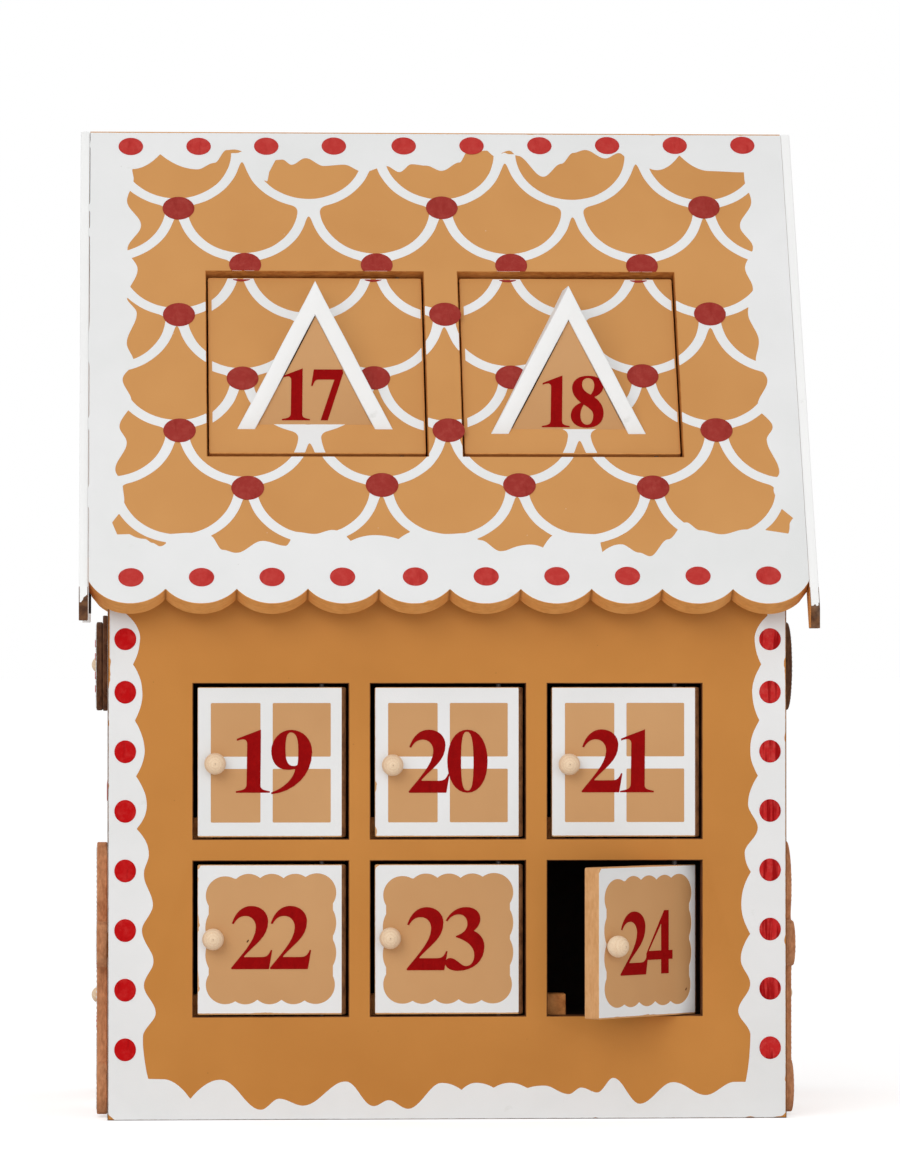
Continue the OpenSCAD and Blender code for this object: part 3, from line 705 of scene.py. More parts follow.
class Recipe(Tree):
    """A geometry node tree with named inputs."""

    prefix = "GeometryNode"
    KINDS = {"count": "NodeSocketInt", "length": "NodeSocketFloat", "place": "NodeSocketVector",
             "finish": "NodeSocketMaterial", "piece": "NodeSocketObject"}

    def __init__(self, name, inputs):
        super().__init__(bpy.data.node_groups.new(name, "GeometryNodeTree"))
        face = self.tree.interface
        face.new_socket("Geometry", in_out="INPUT", socket_type="NodeSocketGeometry")
        self.keys = {label: face.new_socket(label, in_out="INPUT", socket_type=self.KINDS[kind]).identifier
                     for label, kind in {**inputs, "Finish": "finish"}.items()}
        face.new_socket("Geometry", in_out="OUTPUT", socket_type="NodeSocketGeometry")
        self.given = self.node("NodeGroupInput", {}).outputs

    def close(self, geometry):
        """Ends the tree: real geometry with its material."""
        real = self.node("RealizeInstances", {"Geometry": geometry})
        dressed = self.node("SetMaterial", {"Geometry": real, "Material": self.given["Finish"]})
        self.node("NodeGroupOutput", {0: dressed})
        return self

    def run(self, points, edges, **settings):
        """The tree's result as points and faces."""
        mesh = bpy.data.meshes.new("start")
        mesh.from_pydata([tuple(float(c) for c in p) for p in points], edges, [])
        holder = bpy.data.objects.new("start", mesh)
        bpy.context.scene.collection.objects.link(holder)
        modifier = holder.modifiers.new("recipe", "NODES")
        modifier.node_group = self.tree
        for label, value in settings.items():
            modifier[self.keys[label.replace("_", " ")]] = value
        bpy.context.view_layer.update()
        result = bpy.data.meshes.new_from_object(holder.evaluated_get(bpy.context.evaluated_depsgraph_get()))
        holder.modifiers.remove(modifier)
        verts = np.empty(len(result.vertices) * 3)
        result.vertices.foreach_get("co", verts)
        faces = [tuple(p.vertices) for p in result.polygons]
        bpy.data.objects.remove(holder)
        bpy.data.meshes.remove(mesh)
        bpy.data.meshes.remove(result)
        return verts.reshape(-1, 3), faces


def spots_recipe():
    """A row of flat painted spots, each a shallow frustum that faces outwards."""
    r = Recipe("spot_row", {"Count": "count", "Start": "place", "Step": "place", "Half Size": "place"})
    given = r.given
    line = r.node("MeshLine", {"Count": given["Count"], "Start Location": given["Start"], "Offset": given["Step"]})
    spot = r.node("MeshCone", {"Vertices": 36, "Radius Top": 0.95, "Radius Bottom": 1.0, "Depth": 1.0})
    face = r.node("Transform", {"Geometry": spot, "Rotation": (math.pi / 2, 0, 0)})
    return r.close(r.node("InstanceOnPoints", {"Points": line, "Instance": face, "Scale": given["Half Size"]}))


def beads_recipe():
    """Small icing beads piped along a line."""
    r = Recipe("icing_beads", {"Spacing": "length", "Radius": "length", "Flatten": "place"})
    given = r.given
    path = r.node("MeshToCurve", {"Mesh": given["Geometry"]})
    even = r.node("ResampleCurve", {"Curve": path, "Length": given["Spacing"]}, mode="LENGTH")
    drop = r.node("MeshUVSphere", {"Segments": 10, "Rings": 6, "Radius": 1.0})
    vary = r.node("FunctionNodeRandomValue", {2: 0.86, 3: 1.12, "Seed": 7}, data_type="FLOAT")
    size = r.math("MULTIPLY", vary.outputs[1], given["Radius"])
    squash = r.node("Transform", {"Geometry": drop, "Scale": given["Flatten"]})
    return r.close(r.node("InstanceOnPoints", {"Points": even, "Instance": squash, "Scale": size}))


def blocks_recipe():
    """The same small block at every point."""
    r = Recipe("stop_blocks", {"Block": "piece"})
    block = r.node("ObjectInfo", {"Object": r.given["Block"]}).outputs["Geometry"]
    return r.close(r.node("InstanceOnPoints", {"Points": r.given["Geometry"], "Instance": block}))


def scallops_recipe():
    """The eave strip of a roof board: its lower edge follows a row of equal round lobes."""
    r = Recipe("eave_scallops", {"Lobes": "count", "Pitch": "length", "Radius": "length", "Half Width": "length",
                                 "Top": "length", "Thickness": "length"})
    given, calc = r.given, r.math
    per_lobe = 24
    columns = calc("ADD", calc("MULTIPLY", given["Lobes"], per_lobe), 1)
    span = calc("MULTIPLY", given["Lobes"], given["Pitch"])
    half_span = calc("MULTIPLY", span, 0.5)
    half_pitch = calc("MULTIPLY", given["Pitch"], 0.5)
    grid = r.node("MeshGrid", {"Size X": span, "Size Y": 1.0, "Vertices X": columns, "Vertices Y": 5})
    x, y, _ = r.node("ShaderNodeSeparateXYZ", {0: r.node("InputPosition", {})}).outputs

    at_end = calc("GREATER_THAN", calc("ABSOLUTE", x), calc("SUBTRACT", half_span, 0.01))
    beyond = calc("MULTIPLY", at_end, calc("SUBTRACT", given["Half Width"], half_span))
    wide_x = calc("ADD", x, calc("MULTIPLY", beyond, calc("SIGN", x)))
    in_lobe = calc("FLOORED_MODULO", calc("ADD", x, half_span), given["Pitch"])
    reach = calc("ADD", calc("ABSOLUTE", calc("SUBTRACT", in_lobe, half_pitch)), beyond)
    squares = [calc("POWER", length, 2.0) for length in (given["Radius"], reach)]
    low = calc("SUBTRACT", given["Radius"], calc("SQRT", calc("SUBTRACT", *squares)))
    share = calc("ADD", y, 0.5)
    lower = calc("MULTIPLY", low, calc("SUBTRACT", 1.0, share))
    height = calc("ADD", lower, calc("MULTIPLY", given["Top"], share))

    spot = r.node("ShaderNodeCombineXYZ", {0: wide_x, 2: height})
    sheet = r.node("SetPosition", {"Geometry": grid, "Position": spot})
    inward = r.node("ShaderNodeCombineXYZ", {1: 1.0})
    thick = r.node("ExtrudeMesh", {"Mesh": sheet, "Offset": inward, "Offset Scale": given["Thickness"],
                                   "Individual": False})
    both = r.node("JoinGeometry", {0: r.node("FlipFaces", {"Mesh": thick})})
    r.set(both.inputs[0], sheet)
    return r.close(r.node("MergeByDistance", {"Geometry": both, "Distance": 0.001}))


SPOTS, BEADS, BLOCKS, SCALLOP_STRIP = spots_recipe(), beads_recipe(), blocks_recipe(), scallops_recipe()


def spot_row(shell, count, start, step, half_w, half_h, y, paint):
    """Red spots from start, a step apart, on the surface at depth y."""
    points, faces = SPOTS.run([(0, 0, 0)], [], Count=count, Start=(start[0], y - RED_T / 2, start[1]),
                              Step=(step[0], 0, step[1]), Half_Size=(half_w, RED_T * 1.6, half_h),
                              Finish=FINISHES[paint])
    shell.add(points, faces, paint)


def bead_line(shell, loop, y, radius, spacing, paint):
    points = [(x, y, z) for x, z in loop]
    edges = [(i, (i + 1) % len(points)) for i in range(len(points))]
    points, faces = BEADS.run(points, edges, Spacing=spacing, Radius=radius, Flatten=(1.0, 0.55, 1.0),
                              Finish=FINISHES[paint])
    shell.add(points, faces, paint, True)


# ---- Where each door is ----

LAST_DOOR = ((4, "left"), (8, "right"), (10, "back roof"), (16, "back"), (18, "front roof"), (24, "front"))


class Door:
    """The numbers of one door, on its face's plan."""

    def __init__(self, n):
        self.n, self.name, self.body = n, f"{n:02d}", f"leaf_{n:02d}"
        self.face = next(face for last, face in LAST_DOOR if n <= last)
        self.side, self.roof = n <= 8, "roof" in self.face
        self.place = (n - 1) % 4 if self.side else (n - 1) % 2 if self.roof else (n - 3) % 8
        self.high = self.place < (2 if self.side else 3)
        self.flip = self.side and self.place % 2 == 1
        self.y, self.t, inset, foot = 0.0, LEAF_T, WALL_INSET, FOOT_GAP
        free, hinged, play = FREE_GAP, HINGE_GAP, END_PLAY
        if self.side:
            self.w, self.h = SIDE_W, SIDE_HIGH_H if self.high else SIDE_LOW_H
            self.x, self.z = -SIDE_X, SIDE_HIGH_Z if self.high else SIDE_LOW_Z
            inset = SIDE_INSET
        elif self.roof:
            self.w = self.h = ROOF_OPEN
            self.x, self.z = (self.place * 2 - 1) * ROOF_DOOR_X, ROOF_DOOR_V
            self.y, self.t, foot = RECESS, ROOF_LEAF_T, ROOF_FOOT_GAP
            free, hinged, play = ROOF_GAP, ROOF_GAP, ROOF_TOP_GAP + ROOF_FOOT_GAP
        else:
            self.w = self.h = WALL_OPEN
            self.x, self.z = (self.place % 3 - 1) * COLUMN, ROW_LOW + (COLUMN if self.high else 0)
            foot = AJAR_FOOT_GAP if n == 24 else FOOT_GAP
        self.x0, self.x1 = self.x - self.w / 2 + free, self.x + self.w / 2 - hinged
        self.z0 = self.z - self.h / 2 + foot
        self.z1 = self.z0 + self.h - play
        self.swing = (self.x1 - inset, self.y + self.t / 2, AJAR) if n == 24 else None
        self.size, low_knob = (BACK_FIGURE, BACK_KNOB_Z) if n in (3, 8) else (1.0, FIGURE_KNOB_Z)
        if self.side:
            self.knob_x, self.knob_z = self.x - PLAQUE_SHIFT, self.z if self.high else low_knob
        else:
            self.knob_x, self.knob_z = self.x0 + KNOB_IN[self.place], self.z - KNOB_DROP[self.place]

    def opening(self):
        return rectangle(self.x - self.w / 2, self.x + self.w / 2, self.z - self.h / 2, self.z + self.h / 2)

    def make(self, shell, name, origin=(0, 0, 0)):
        return shell.make(name, self.face, self.flip, self.swing, origin)


DOORS = [Door(n) for n in range(1, 25)]


def holes(face):
    """The door openings of a face, running clockwise."""
    return [d.opening() * (-1, 1) if d.flip else d.opening()[::-1] for d in DOORS if d.face == face]


def clear_of_openings(face, x, z, margin=0.35):
    """Above 0 in the openings and along their rims, so that paint stops there."""
    out = np.full(x.shape, -9.0)
    for loop in holes(face):
        (x0, z0), (x1, z1) = loop.min(0), loop.max(0)
        out = np.maximum(out, -block(x, z, x0 - margin, x1 + margin, z0 - margin, z1 + margin))
    return out


# ---- The roof's fish-scale icing ----

# Edges of the icing as (place, how far out), with a 1 at a sharp knot
PRINT_RISE = 0.8
SCALE_R, SCALE_STEP, SCALE_LINE = 28.0, 61.5, 4.6
SCALE_ROWS, SCALE_LOW, SCALE_RISE = 7, 33.9, 30.42
ROOF_LEFT = [
    (241, -142.5), (234.4, -142.5), (228.8, -141.8), (216.4, -144.9), (202.9, -138.4), (189.5, -144.7),
    (178.4, -140.0), (162.9, -145.0), (154.1, -140.4), (137.7, -145.0), (127.9, -141.9), (118.1, -146.9),
    (106.2, -142.8), (92.7, -148.3), (84.1, -145.0), (69.6, -150.2), (61.5, -146.8), (53.4, -146.1),
    (46.1, -148.6, 1), (41.6, -151.6, 1), (35.3, -149.3, 1), (30, -149)]
ROOF_RIGHT = [
    (241, 144), (230.5, 144.0), (217.5, 146.6), (203.5, 140.6), (191.8, 146.1), (180.1, 141.8), (169.0, 144.9),
    (155.2, 141.9), (139.9, 146.2), (128.9, 144.2), (118.6, 149.0), (104.5, 143.8), (93.2, 150.1), (86.2, 147.0),
    (69.1, 151.9), (62.7, 149.4), (59.0, 148.7), (55.3, 149.5), (49.2, 152.0, 1), (44.3, 156.9, 1), (40.4, 155.0),
    (36.1, 154.2, 1), (30, 154)]
ROOF_TOP = [
    (-160, 234), (-142.5, 234.4), (-129.4, 242.9, 1), (-112.1, 234.4), (-104.1, 238.1), (-98.4, 245.4),
    (-95.1, 245.7), (-90.0, 244.0, 1), (-86.8, 240.1), (-84.0, 229.0), (-79.5, 227.6, 1), (-78.6, 233.0, 1),
    (-75.6, 239.8, 1), (-72.3, 240.1), (-68.1, 237.2), (-61.5, 241.0), (-53.0, 236.6), (-43.7, 237.4),
    (-34.5, 233.3), (-23.7, 236.7), (-17.7, 233.3), (-11.9, 237.8), (-5.0, 237.0), (2.0, 234.1), (10.6, 238.9),
    (14.5, 245.0), (23.4, 245.7), (26.6, 242.9), (34.2, 245.7), (37.8, 242.9), (49.6, 231.0), (58.3, 238.4),
    (64.1, 244.6), (69.8, 246.3), (79.1, 241.5), (85.7, 244.6), (91.1, 240.1), (103.0, 235.0), (114.0, 243.5, 1),
    (128.0, 234.6), (142.4, 234.0), (160, 234)]
ROOF_BOTTOM = [
    (-160, 35.3), (-149.3, 35.3, 1), (-143.7, 35.5, 1), (-137.0, 33.0), (-133.4, 30.9), (-130.0, 29.1),
    (-127.4, 30.6, 1), (-126.2, 35.6), (-117.3, 36.2), (-107.3, 34.6), (-102.0, 27.3), (-95.7, 25.7),
    (-83.9, 32.0), (-73.5, 29.4), (-68.5, 36.7), (-60.4, 35.7), (-52.2, 37.8), (-44.2, 32.0, 1), (-33.3, 35.1),
    (-22.5, 33.0, 1), (-12.4, 37.8), (-0.7, 35.7), (8.3, 36.2), (14.5, 32.5), (23.4, 26.7), (27.5, 27.8, 1),
    (37.0, 30.2), (42.6, 28.6, 1), (50.8, 36.7), (67.0, 35.7), (69.3, 26.2, 1), (78, 30.4), (86.0, 26.0),
    (90.9, 24.1), (99.4, 33.0), (108.0, 42.0), (114.1, 37.8), (123.9, 35.7), (134.9, 38.3), (143.0, 38.1, 1),
    (154.2, 36.1, 1), (160, 36)]


# Red spots: rows of (height, tilt, half width, half height) in two runs of (count, first, step),
# rows of (height, tilt) on the scales, and those that a door's opening cuts, with their heights
# in the row below
EDGE_SPOTS = ((13.6, 0.004, 5.7, 4.85), (247.9, 0.0075, 5.75, 4.9))
EDGE_RUNS = ((4, -143.1, 31.65), (6, -15.4, 31.88))
SCALE_SPOTS = ((213.2, 0.0065), (154.2, 0.005), (91.4, 0.003))
CUT_SPOTS = ((-90.3, 60.8), (-29.4, 62.4), (33.0, 62.4), (93.8, 61.3))
CUT_SPOT_HEIGHT = 182.0
SPOT_HALF = (7.4, 6.4)
# On the roof doors: how far left each spot is, and the heights of the low ones
DOOR_SPOT_CUT, DOOR_SPOT_OFF, DOOR_SPOT_LOW = 1.7, (1.7, 2.2, 1.7, 1.9), (121.5, 121.9, 122.4, 123.3)


def from_lobe_middle(x):
    """How far x is from the middle of its scallop."""
    return np.mod(x + SCALLOP_STEP * SCALLOPS / 2, SCALLOP_STEP) - SCALLOP_STEP / 2


def eave_low(x):
    """The scalloped lower edge."""
    beyond = np.maximum(np.abs(x) - SCALLOP_STEP * SCALLOPS / 2, 0)
    across = np.where(beyond > 0, SCALLOP_STEP / 2 + beyond, from_lobe_middle(x))
    return SCALLOP_R - np.sqrt(np.maximum(SCALLOP_R ** 2 - across ** 2, 0))


def melted(a, b, reach):
    """Two icing shapes run together where they nearly meet."""
    h = np.clip(0.5 + 0.5 * (b - a) / reach, 0, 1)
    return b * (1 - h) + a * h - reach * h * (1 - h)


def scales(x, s):
    whole = np.full(x.shape, 40.0)
    for row in range(SCALE_ROWS):
        bottom = SCALE_LOW + SCALE_RISE * row
        shift = 1.0 if row % 2 == 0 else 1.0 + SCALE_STEP / 2
        for k in range(-4, 4):
            cx = shift + k * SCALE_STEP
            whole = melted(whole, arc(x, s, cx, bottom + SCALE_R, SCALE_R, SCALE_LINE), 3.6)
    return whole + 0.16 * (ripple(x, s, 5, 3) - 0.5)


def roof_icing(x, s):
    lift = s - PRINT_RISE
    return joined([scales(x, s), x - wave(ROOF_LEFT, lift), wave(ROOF_RIGHT, lift) - x,
                   wave(ROOF_TOP, x) - lift, lift - wave(ROOF_BOTTOM, x)])


def roof_print(seed):
    def field(x, s):
        low = eave_low(x) + chips(x, s * 0, 0.25, seed, 1.6, 0.84)
        edge = np.maximum(low - s, s - SLOPE + chips(x, s * 0, 1.05, seed + 3, 0.6, 0.8))
        bridged = np.clip((ripple(np.sign(x) * 50, s, 7, seed + 8) - 0.7) / 0.08, 0, 1)
        ends = np.abs(x) - ROOF_W / 2 + np.where(x < 0, 0.05 - 0.55 * bridged, -0.3)
        return common([roof_icing(x, s), edge, ends, clear_of_openings("front roof", x, s)])
    return field


def cut_spot(shell, x, aside, s, y, limit, low, high, step):
    """A red spot that a door's opening cuts; it is painted where the limit is below 0."""
    def field(gx, gs):
        return np.maximum(disc(gx, gs, x - aside, s, *SPOT_HALF), limit(gx, gs))
    shell.coat(painted_outline(field, x - 9, x + 9, low, high, step), y - PAINT_T + 0.02, "roof_red", RED_T - 0.02)


def roof_spots():
    """Red spots: rows along the ridge and the eave, and one at every meeting of the scales."""
    shell = Shell()
    for s, tilt, *half in EDGE_SPOTS:
        for count, x, step in EDGE_RUNS:
            climb = (x - EDGE_RUNS[0][1]) * tilt
            spot_row(shell, count, (x, s + climb), (step, step * tilt), *half, -PAINT_T, "eave_red")
    for s, tilt in SCALE_SPOTS:
        spot_row(shell, 3, (-121.0, s), (122.6, 122.6 * tilt), *SPOT_HALF, -PAINT_T, "roof_red")
    for x, s in CUT_SPOTS:
        cut_spot(shell, x, 0, CUT_SPOT_HEIGHT, 0, lambda gx, gs: clear_of_openings("front roof", gx, gs, 0.4),
                 173, 190, 0.25)
        spot_row(shell, 1, (x, s), (0, 0), 7.45, 6.4, -PAINT_T, "roof_red")
    return shell


def roof_char(points):
    """Scorch marks in the notches between the scallops."""
    x, s = points[:, 0], points[:, 2]
    to_notch = SCALLOP_STEP / 2 - np.abs(from_lobe_middle(x))
    return 0.4 * np.clip(1 - to_notch / 0.8, 0, 1) * (s < 14) * (np.abs(x) < ROOF_W / 2 - 4)


def roof_board(face, node, seed):
    board = Shell()
    half = ROOF_W / 2
    layers = []
    for y, e in EASED_LAYERS:
        top = SLOPE - 0.05 - e - y * math.tan(PITCH)
        outer = rectangle(-half + e * 0.2, half - e * 0.2, STRIP_TOP, top)
        layers.append(at_depth([outer] + [offset(l, e) for l in holes(face)], y))

    def cut(m):
        return "roof_reveal" if abs(m[0]) < half - 1 and STRIP_TOP + 1 < m[2] < SLOPE - 25 else "cut_raw"
    # The roof's face takes the tan with its painted sheen.
    board.stack(layers, "roof_tan", cut, "cut_raw")
    points, faces = SCALLOP_STRIP.run([(0, 0, 0)], [], Lobes=SCALLOPS, Pitch=SCALLOP_STEP, Radius=SCALLOP_R,
                                      Half_Width=half, Top=STRIP_TOP, Thickness=WALL_T, Finish=FINISHES["cut_tan"])
    board.add(points, faces, "cut_tan")
    settle(board.make(node, face, char=roof_char), "house", "tan_paint", node)
    icing = roof_spots()
    icing.coat(painted_outline(roof_print(seed), -half - 1, half + 1, -1, SLOPE + 1), 0, "white")
    settle(icing.make(node + "_icing", face), "house", "white_paint")


# Each bargeboard: face, left or right, gap at its outer side, lower end's height, length of its
# nose, slant of the paint's ragged end
BARGES = (("front roof", True, 0.1, 0.0, 7.4, 5.2), ("front roof", False, 0.0, -BARGE_DROP, BARGE_NOSE, -1.2),
          ("back roof", True, 0.2, -0.9, BARGE_NOSE - 0.8, 1.8), ("back roof", False, 0.1, 1.4, BARGE_NOSE - 1.2, 2.6))
BARGE_IN, BARE_END = 0.12, 9.0


def bargeboards():
    """White boards over both gable ends, cut upright and then level at their bare lower ends.

    A near-black strip behind the roof's end beside the front left one is painted shade for the dark there."""
    shell = Shell()
    rise = math.tan(PITCH)
    for face, left, inset, low, nose, slant in BARGES:
        tip_x, tip_z = BARGE_IN + nose * math.cos(PITCH), low - nose * math.sin(PITCH)
        foot = [(BARGE_IN + (tip_x - BARGE_IN) * i / 9, low + (tip_z - low) * i / 9) for i in range(10)]
        foot[1:] = [(x + 0.1 * math.sin(i * 5.3), z) for i, (x, z) in enumerate(foot[1:])]
        loop = np.array(foot + [(BARGE_W, tip_z + (BARGE_W - tip_x) / rise), (BARGE_W, SLOPE - 0.1 - BARGE_W * rise),
                                (BARGE_IN, SLOPE - 0.1 - BARGE_IN * rise), (BARGE_IN, BARE_END)])
        board, paint = Shell(), Shell()
        board.panel([loop], inset, BARGE_T - BARGE_SEAM, "barge_white",
                    lambda m: "barge_end" if m[2] < BARE_END - 0.1 else "barge_white", "cut_tan", 0.3)
        # Painted shade: a near-black strip behind the roof's end, where shade falls.
        if face == "front roof" and left:
            strip = rectangle(9.3, 12.6, 2.3, SLOPE - 40)
            board.panel([strip], BARGE_T, BARGE_T + 1.1, "dark_board", "dark_board", "dark_board", 0.1)
        inner, outer = ROOF_W / 2 + BARGE_SEAM + 0.2, ROOF_W / 2 + BARGE_T - inset - 0.3

        def ragged(x, s):
            across = (outer - x) / (outer - inner)
            end = low + 0.3 + slant * across + 2.2 * (ripple(x, s, 0.9, 401) - 0.5) - np.minimum(slant, 0)
            return block(x, s, inner, outer, end, BARE_END + 0.3)
        patch = painted_outline(ragged, inner, outer, -2, BARE_END + 0.3, 0.2, 0.02, 0.02)
        paint.coat(patch, BARGE_IN, "barge_white")
        x, y, z = np.vstack(board.points).T
        side_on = np.column_stack([ROOF_W / 2 + BARGE_T - y, x, z])
        for points, part in ((side_on, board), (np.vstack(paint.points), paint)):
            shell.add(*into_house(points, part.faces, face, left), part.paint)
            shell.smooth[-len(part.faces):] = part.smooth
    settle(shell.make("bargeboards", "world"), "house", "white_paint", "bargeboards")


# ---- Walls and their icing ----

# Edges of the icing, as on the roof
LEFT_LOBES = [
    (245, -141.0), (229.5, -147.0, 1), (217.0, -139.0), (205.2, -142.1, 1), (179.9, -141.3, 1), (154.8, -140.8, 1),
    (131.1, -140.5, 1), (110.7, -137.2), (85.4, -138.1), (60.6, -137.2), (37.5, -137.6), (18.4, -135.2, 1),
    (0, -135.2, 1), (192.5, -137.9), (166.3, -136.9), (141.9, -135.9), (119.8, -134.9), (96.7, -133.1),
    (71.4, -132.9), (48.4, -131.8)]
RIGHT_LOBES = [
    (245, 141.0), (227.4, 145.0, 1), (205.2, 142.1, 1), (179.9, 141.2, 1), (154.8, 140.5, 1), (131.1, 140.5),
    (111.2, 137.2, 1), (83.2, 137.0, 1), (60.6, 137.0), (37.5, 137.0), (16.7, 134.9, 1), (0, 134.9, 1),
    (216.9, 139.1), (192.5, 137.9), (166.3, 137.0), (141.9, 136.1), (119.8, 134.5), (96.7, 132.9), (71.4, 132.7),
    (48.4, 131.5)]
DRIP = [
    (-154, 18.5), (-135.4, 18.5), (-129.0, 18.5), (-116.2, 9.5, 1), (-102.4, 18.1), (-84.5, 4.5), (-76.2, 9.5),
    (-65.3, 6.3), (-46.1, 17.2), (-33.7, 5.9), (-26.9, 8.6), (-17.9, 4.7), (-2.9, 16.3), (6.1, 13.1, 1),
    (12.9, 16.3), (20.6, 14.0, 1), (27.8, 16.3), (35.9, 13.8, 1), (43.2, 14.9), (54.7, 11.1), (60.1, 14.0),
    (67.6, 11.8), (74.8, 18.3), (86.8, 6.6), (101.9, 16.3), (116.8, 10.4), (129.9, 16.3), (154, 16.3)]
WALL_DOT_TOP, WALL_DOT_NEXT, WALL_DOT_STEP = 216.6, 192.7, 26.83
WALL_TOP = UNDER_RIDGE - BODY_D / 2 * math.tan(PITCH)


def wall_print(seed):
    def field(x, z):
        icing = joined([x - wave(LEFT_LOBES, z), wave(RIGHT_LOBES, z) - x, z - wave(DRIP, x)])
        bare = np.where(x < 0, 0.4 + 0.5 * np.clip((z - 194) / 4, 0, 1), 0.55)
        ends = np.abs(x) - BODY_W / 2 + bare + chips(x * 0 + np.sign(x) * 40, z, 0.0, seed, 0.7, 0.84)
        foot = chips(x, z * 0, 0.25, seed + 2, 1.6, 0.78) - z
        corner = 2.6 + 1.5 * ripple(x, z, 1.5, seed + 9) - (np.abs(np.abs(x) - BODY_W / 2) + z)
        return common([icing + 0.2 * (ripple(x, z, 4, seed + 4) - 0.5), ends, foot, corner, z - WALL_TOP + 1])
    return field


def wall_board(face, node, outline_at, cut):
    layers = []
    for y, e in EASED_LAYERS:
        layers.append(at_depth([offset(outline_at(y), e)] + [offset(l, e) for l in holes(face)], y))
    shell = Shell()
    # The back of each wall is near black, painted shade for the dark inside.
    shell.stack(layers, "wall_tan", cut, "inner")
    settle(shell.make(node, face), "house", "tan_paint", node)


def end_wall(face, node, seed):
    half = BODY_W / 2

    def cut(m):
        return "cut_raw" if abs(m[0]) > half - 2 or m[2] < 2 or m[2] > WALL_TOP - 1 else "reveal"
    wall_board(face, node, lambda y: rectangle(-half, half, 0, WALL_TOP + y * math.tan(PITCH)), cut)
    icing = Shell()
    icing.coat(painted_outline(wall_print(seed), -half, half, 0, WALL_TOP), 0, "white")
    for x, paint in ((-145.6, "red"), (146.0, "brushed_red")):
        spot_row(icing, 1, (x, WALL_DOT_TOP), (0, 0), 4.95, 5.0, -PAINT_T, paint)
        spot_row(icing, 7, (x, WALL_DOT_NEXT), (0, -WALL_DOT_STEP), 4.9, 5.15, -PAINT_T, paint)
    settle(icing.make(node + "_icing", face), "house", "white_paint")


SIDE_HALF = BODY_D / 2 - WALL_T
GABLE_FOOT, GABLE_SCALE_R = 262.0, 22.0
MIDDLE_BAND_Z, UPPER_BAND_Z, BAND_STEP = 147.0, 252.0, 22.0


def lobes(t, pitch, high):
    """A row of round lobes along t."""
    u = np.mod(t, pitch) / pitch * 2 - 1
    return high * (1 - u * u)


def side_print(face, seed):
    def field(x, z):
        to_slope = (UNDER_RIDGE - np.abs(x) * math.tan(PITCH) - z) * math.cos(PITCH)
        along = np.abs(x) * math.cos(PITCH) - (z - UNDER_RIDGE) * math.sin(PITCH)
        post = np.abs(x) - 5.5 - lobes(z, 20.0, 3.5)
        bands = [to_slope - 9 - lobes(along, 21.0, 4.5),
                 (SIDE_HALF - np.abs(x)) - 2.4 - lobes(z, 12.0, 1.6),
                 z - 4.5 - lobes(x, 18.0, 4.2),
                 np.abs(z - MIDDLE_BAND_Z) - 9.5 - lobes(x, BAND_STEP, 4.5),
                 np.abs(z - UPPER_BAND_Z) - 7.0 - lobes(x, BAND_STEP, 3.5),
                 np.maximum(post, z - 250)]
        rows = []
        for k in range(7):
            for j in range(-4, 5):
                cx = j * 2 * GABLE_SCALE_R + (GABLE_SCALE_R if k % 2 else 0.0)
                rows.append(arc(x, z, cx, GABLE_FOOT + GABLE_SCALE_R * (k + 1), GABLE_SCALE_R, 3.4))
        icing = joined(bands + [np.maximum(joined(rows), GABLE_FOOT - 2 - z)])
        return common([icing + 0.2 * (ripple(x, z, 4, seed) - 0.5), np.abs(x) - SIDE_HALF + 0.4, 0.3 - z,
                       1.2 - to_slope, clear_of_openings(face, x, z)])
    return field


def side_wall(face, node, seed):
    shoulder = UNDER_RIDGE - SIDE_HALF * math.tan(PITCH)
    outline = np.array([(-SIDE_HALF, 0), (SIDE_HALF, 0), (SIDE_HALF, shoulder), (0, UNDER_RIDGE),
                        (-SIDE_HALF, shoulder)])

    def cut(m):
        return "reveal" if abs(m[0]) < SIDE_HALF - 1 and 2 < m[2] < 241 else "cut_raw"
    wall_board(face, node, lambda y: outline, cut)
    icing = Shell()
    icing.coat(painted_outline(side_print(face, seed), -SIDE_HALF, SIDE_HALF, 0, UNDER_RIDGE), 0, "white")
    rows = [(8, -77.0, z, BAND_STEP, 0, 4.0) for z in (MIDDLE_BAND_Z, UPPER_BAND_Z)]
    rows += [(5, 0, 30.0, 0, 20.0, 3.2), (2, 0, 190.0, 0, 20.0, 3.2)]
    r = GABLE_SCALE_R
    rows += [(n, -r * (n - 1), GABLE_FOOT + r * (4 - n), 2 * r, 0, 4.4) for n in (3, 2, 1)]
    for count, x, z, step_x, step_z, half in rows:
        spot_row(icing, count, (x, z), (step_x, step_z), half, half, -PAINT_T, "red")
    settle(icing.make(node + "_icing", face), "house", "white_paint")


# ---- Doors ----

def leaf(d):
    """A square door; on the hinge side its front edge is rounded and bare."""
    shell = Shell()
    big = 0.45 if d.roof else 1.2 if d.side else HINGE_ROUND

    def inset(y, r):
        return r - math.sqrt(max(r * r - (r - y) ** 2, 0)) if y < r else 0.0
    layers = []
    for y in (0, 0.06, 0.18, EASE, 0.8, 1.3, max(big, 1.35), d.t - EASE, d.t):
        e = inset(y, EASE) if y < d.t / 2 else (EASE if y == d.t else 0.0)
        h = inset(y, big) if y < d.t / 2 else e
        layers.append(at_depth([rectangle(d.x0 + e, d.x1 - h, d.z0 + e, d.z1 - e, 0.8)], d.y + y))
    # Roof doors take the roof's tan with its painted sheen.
    front, edge = (("roof_tan", "cut_tan") if d.roof else ("wall_tan", "cut_tan") if d.side
                   else ("light_tan", "cut_light"))

    def cut(m):
        return "cut_raw" if m[0] > d.x1 - big - 0.4 and not d.roof else edge
    shell.stack(layers, front, cut, "cut_raw")
    return shell


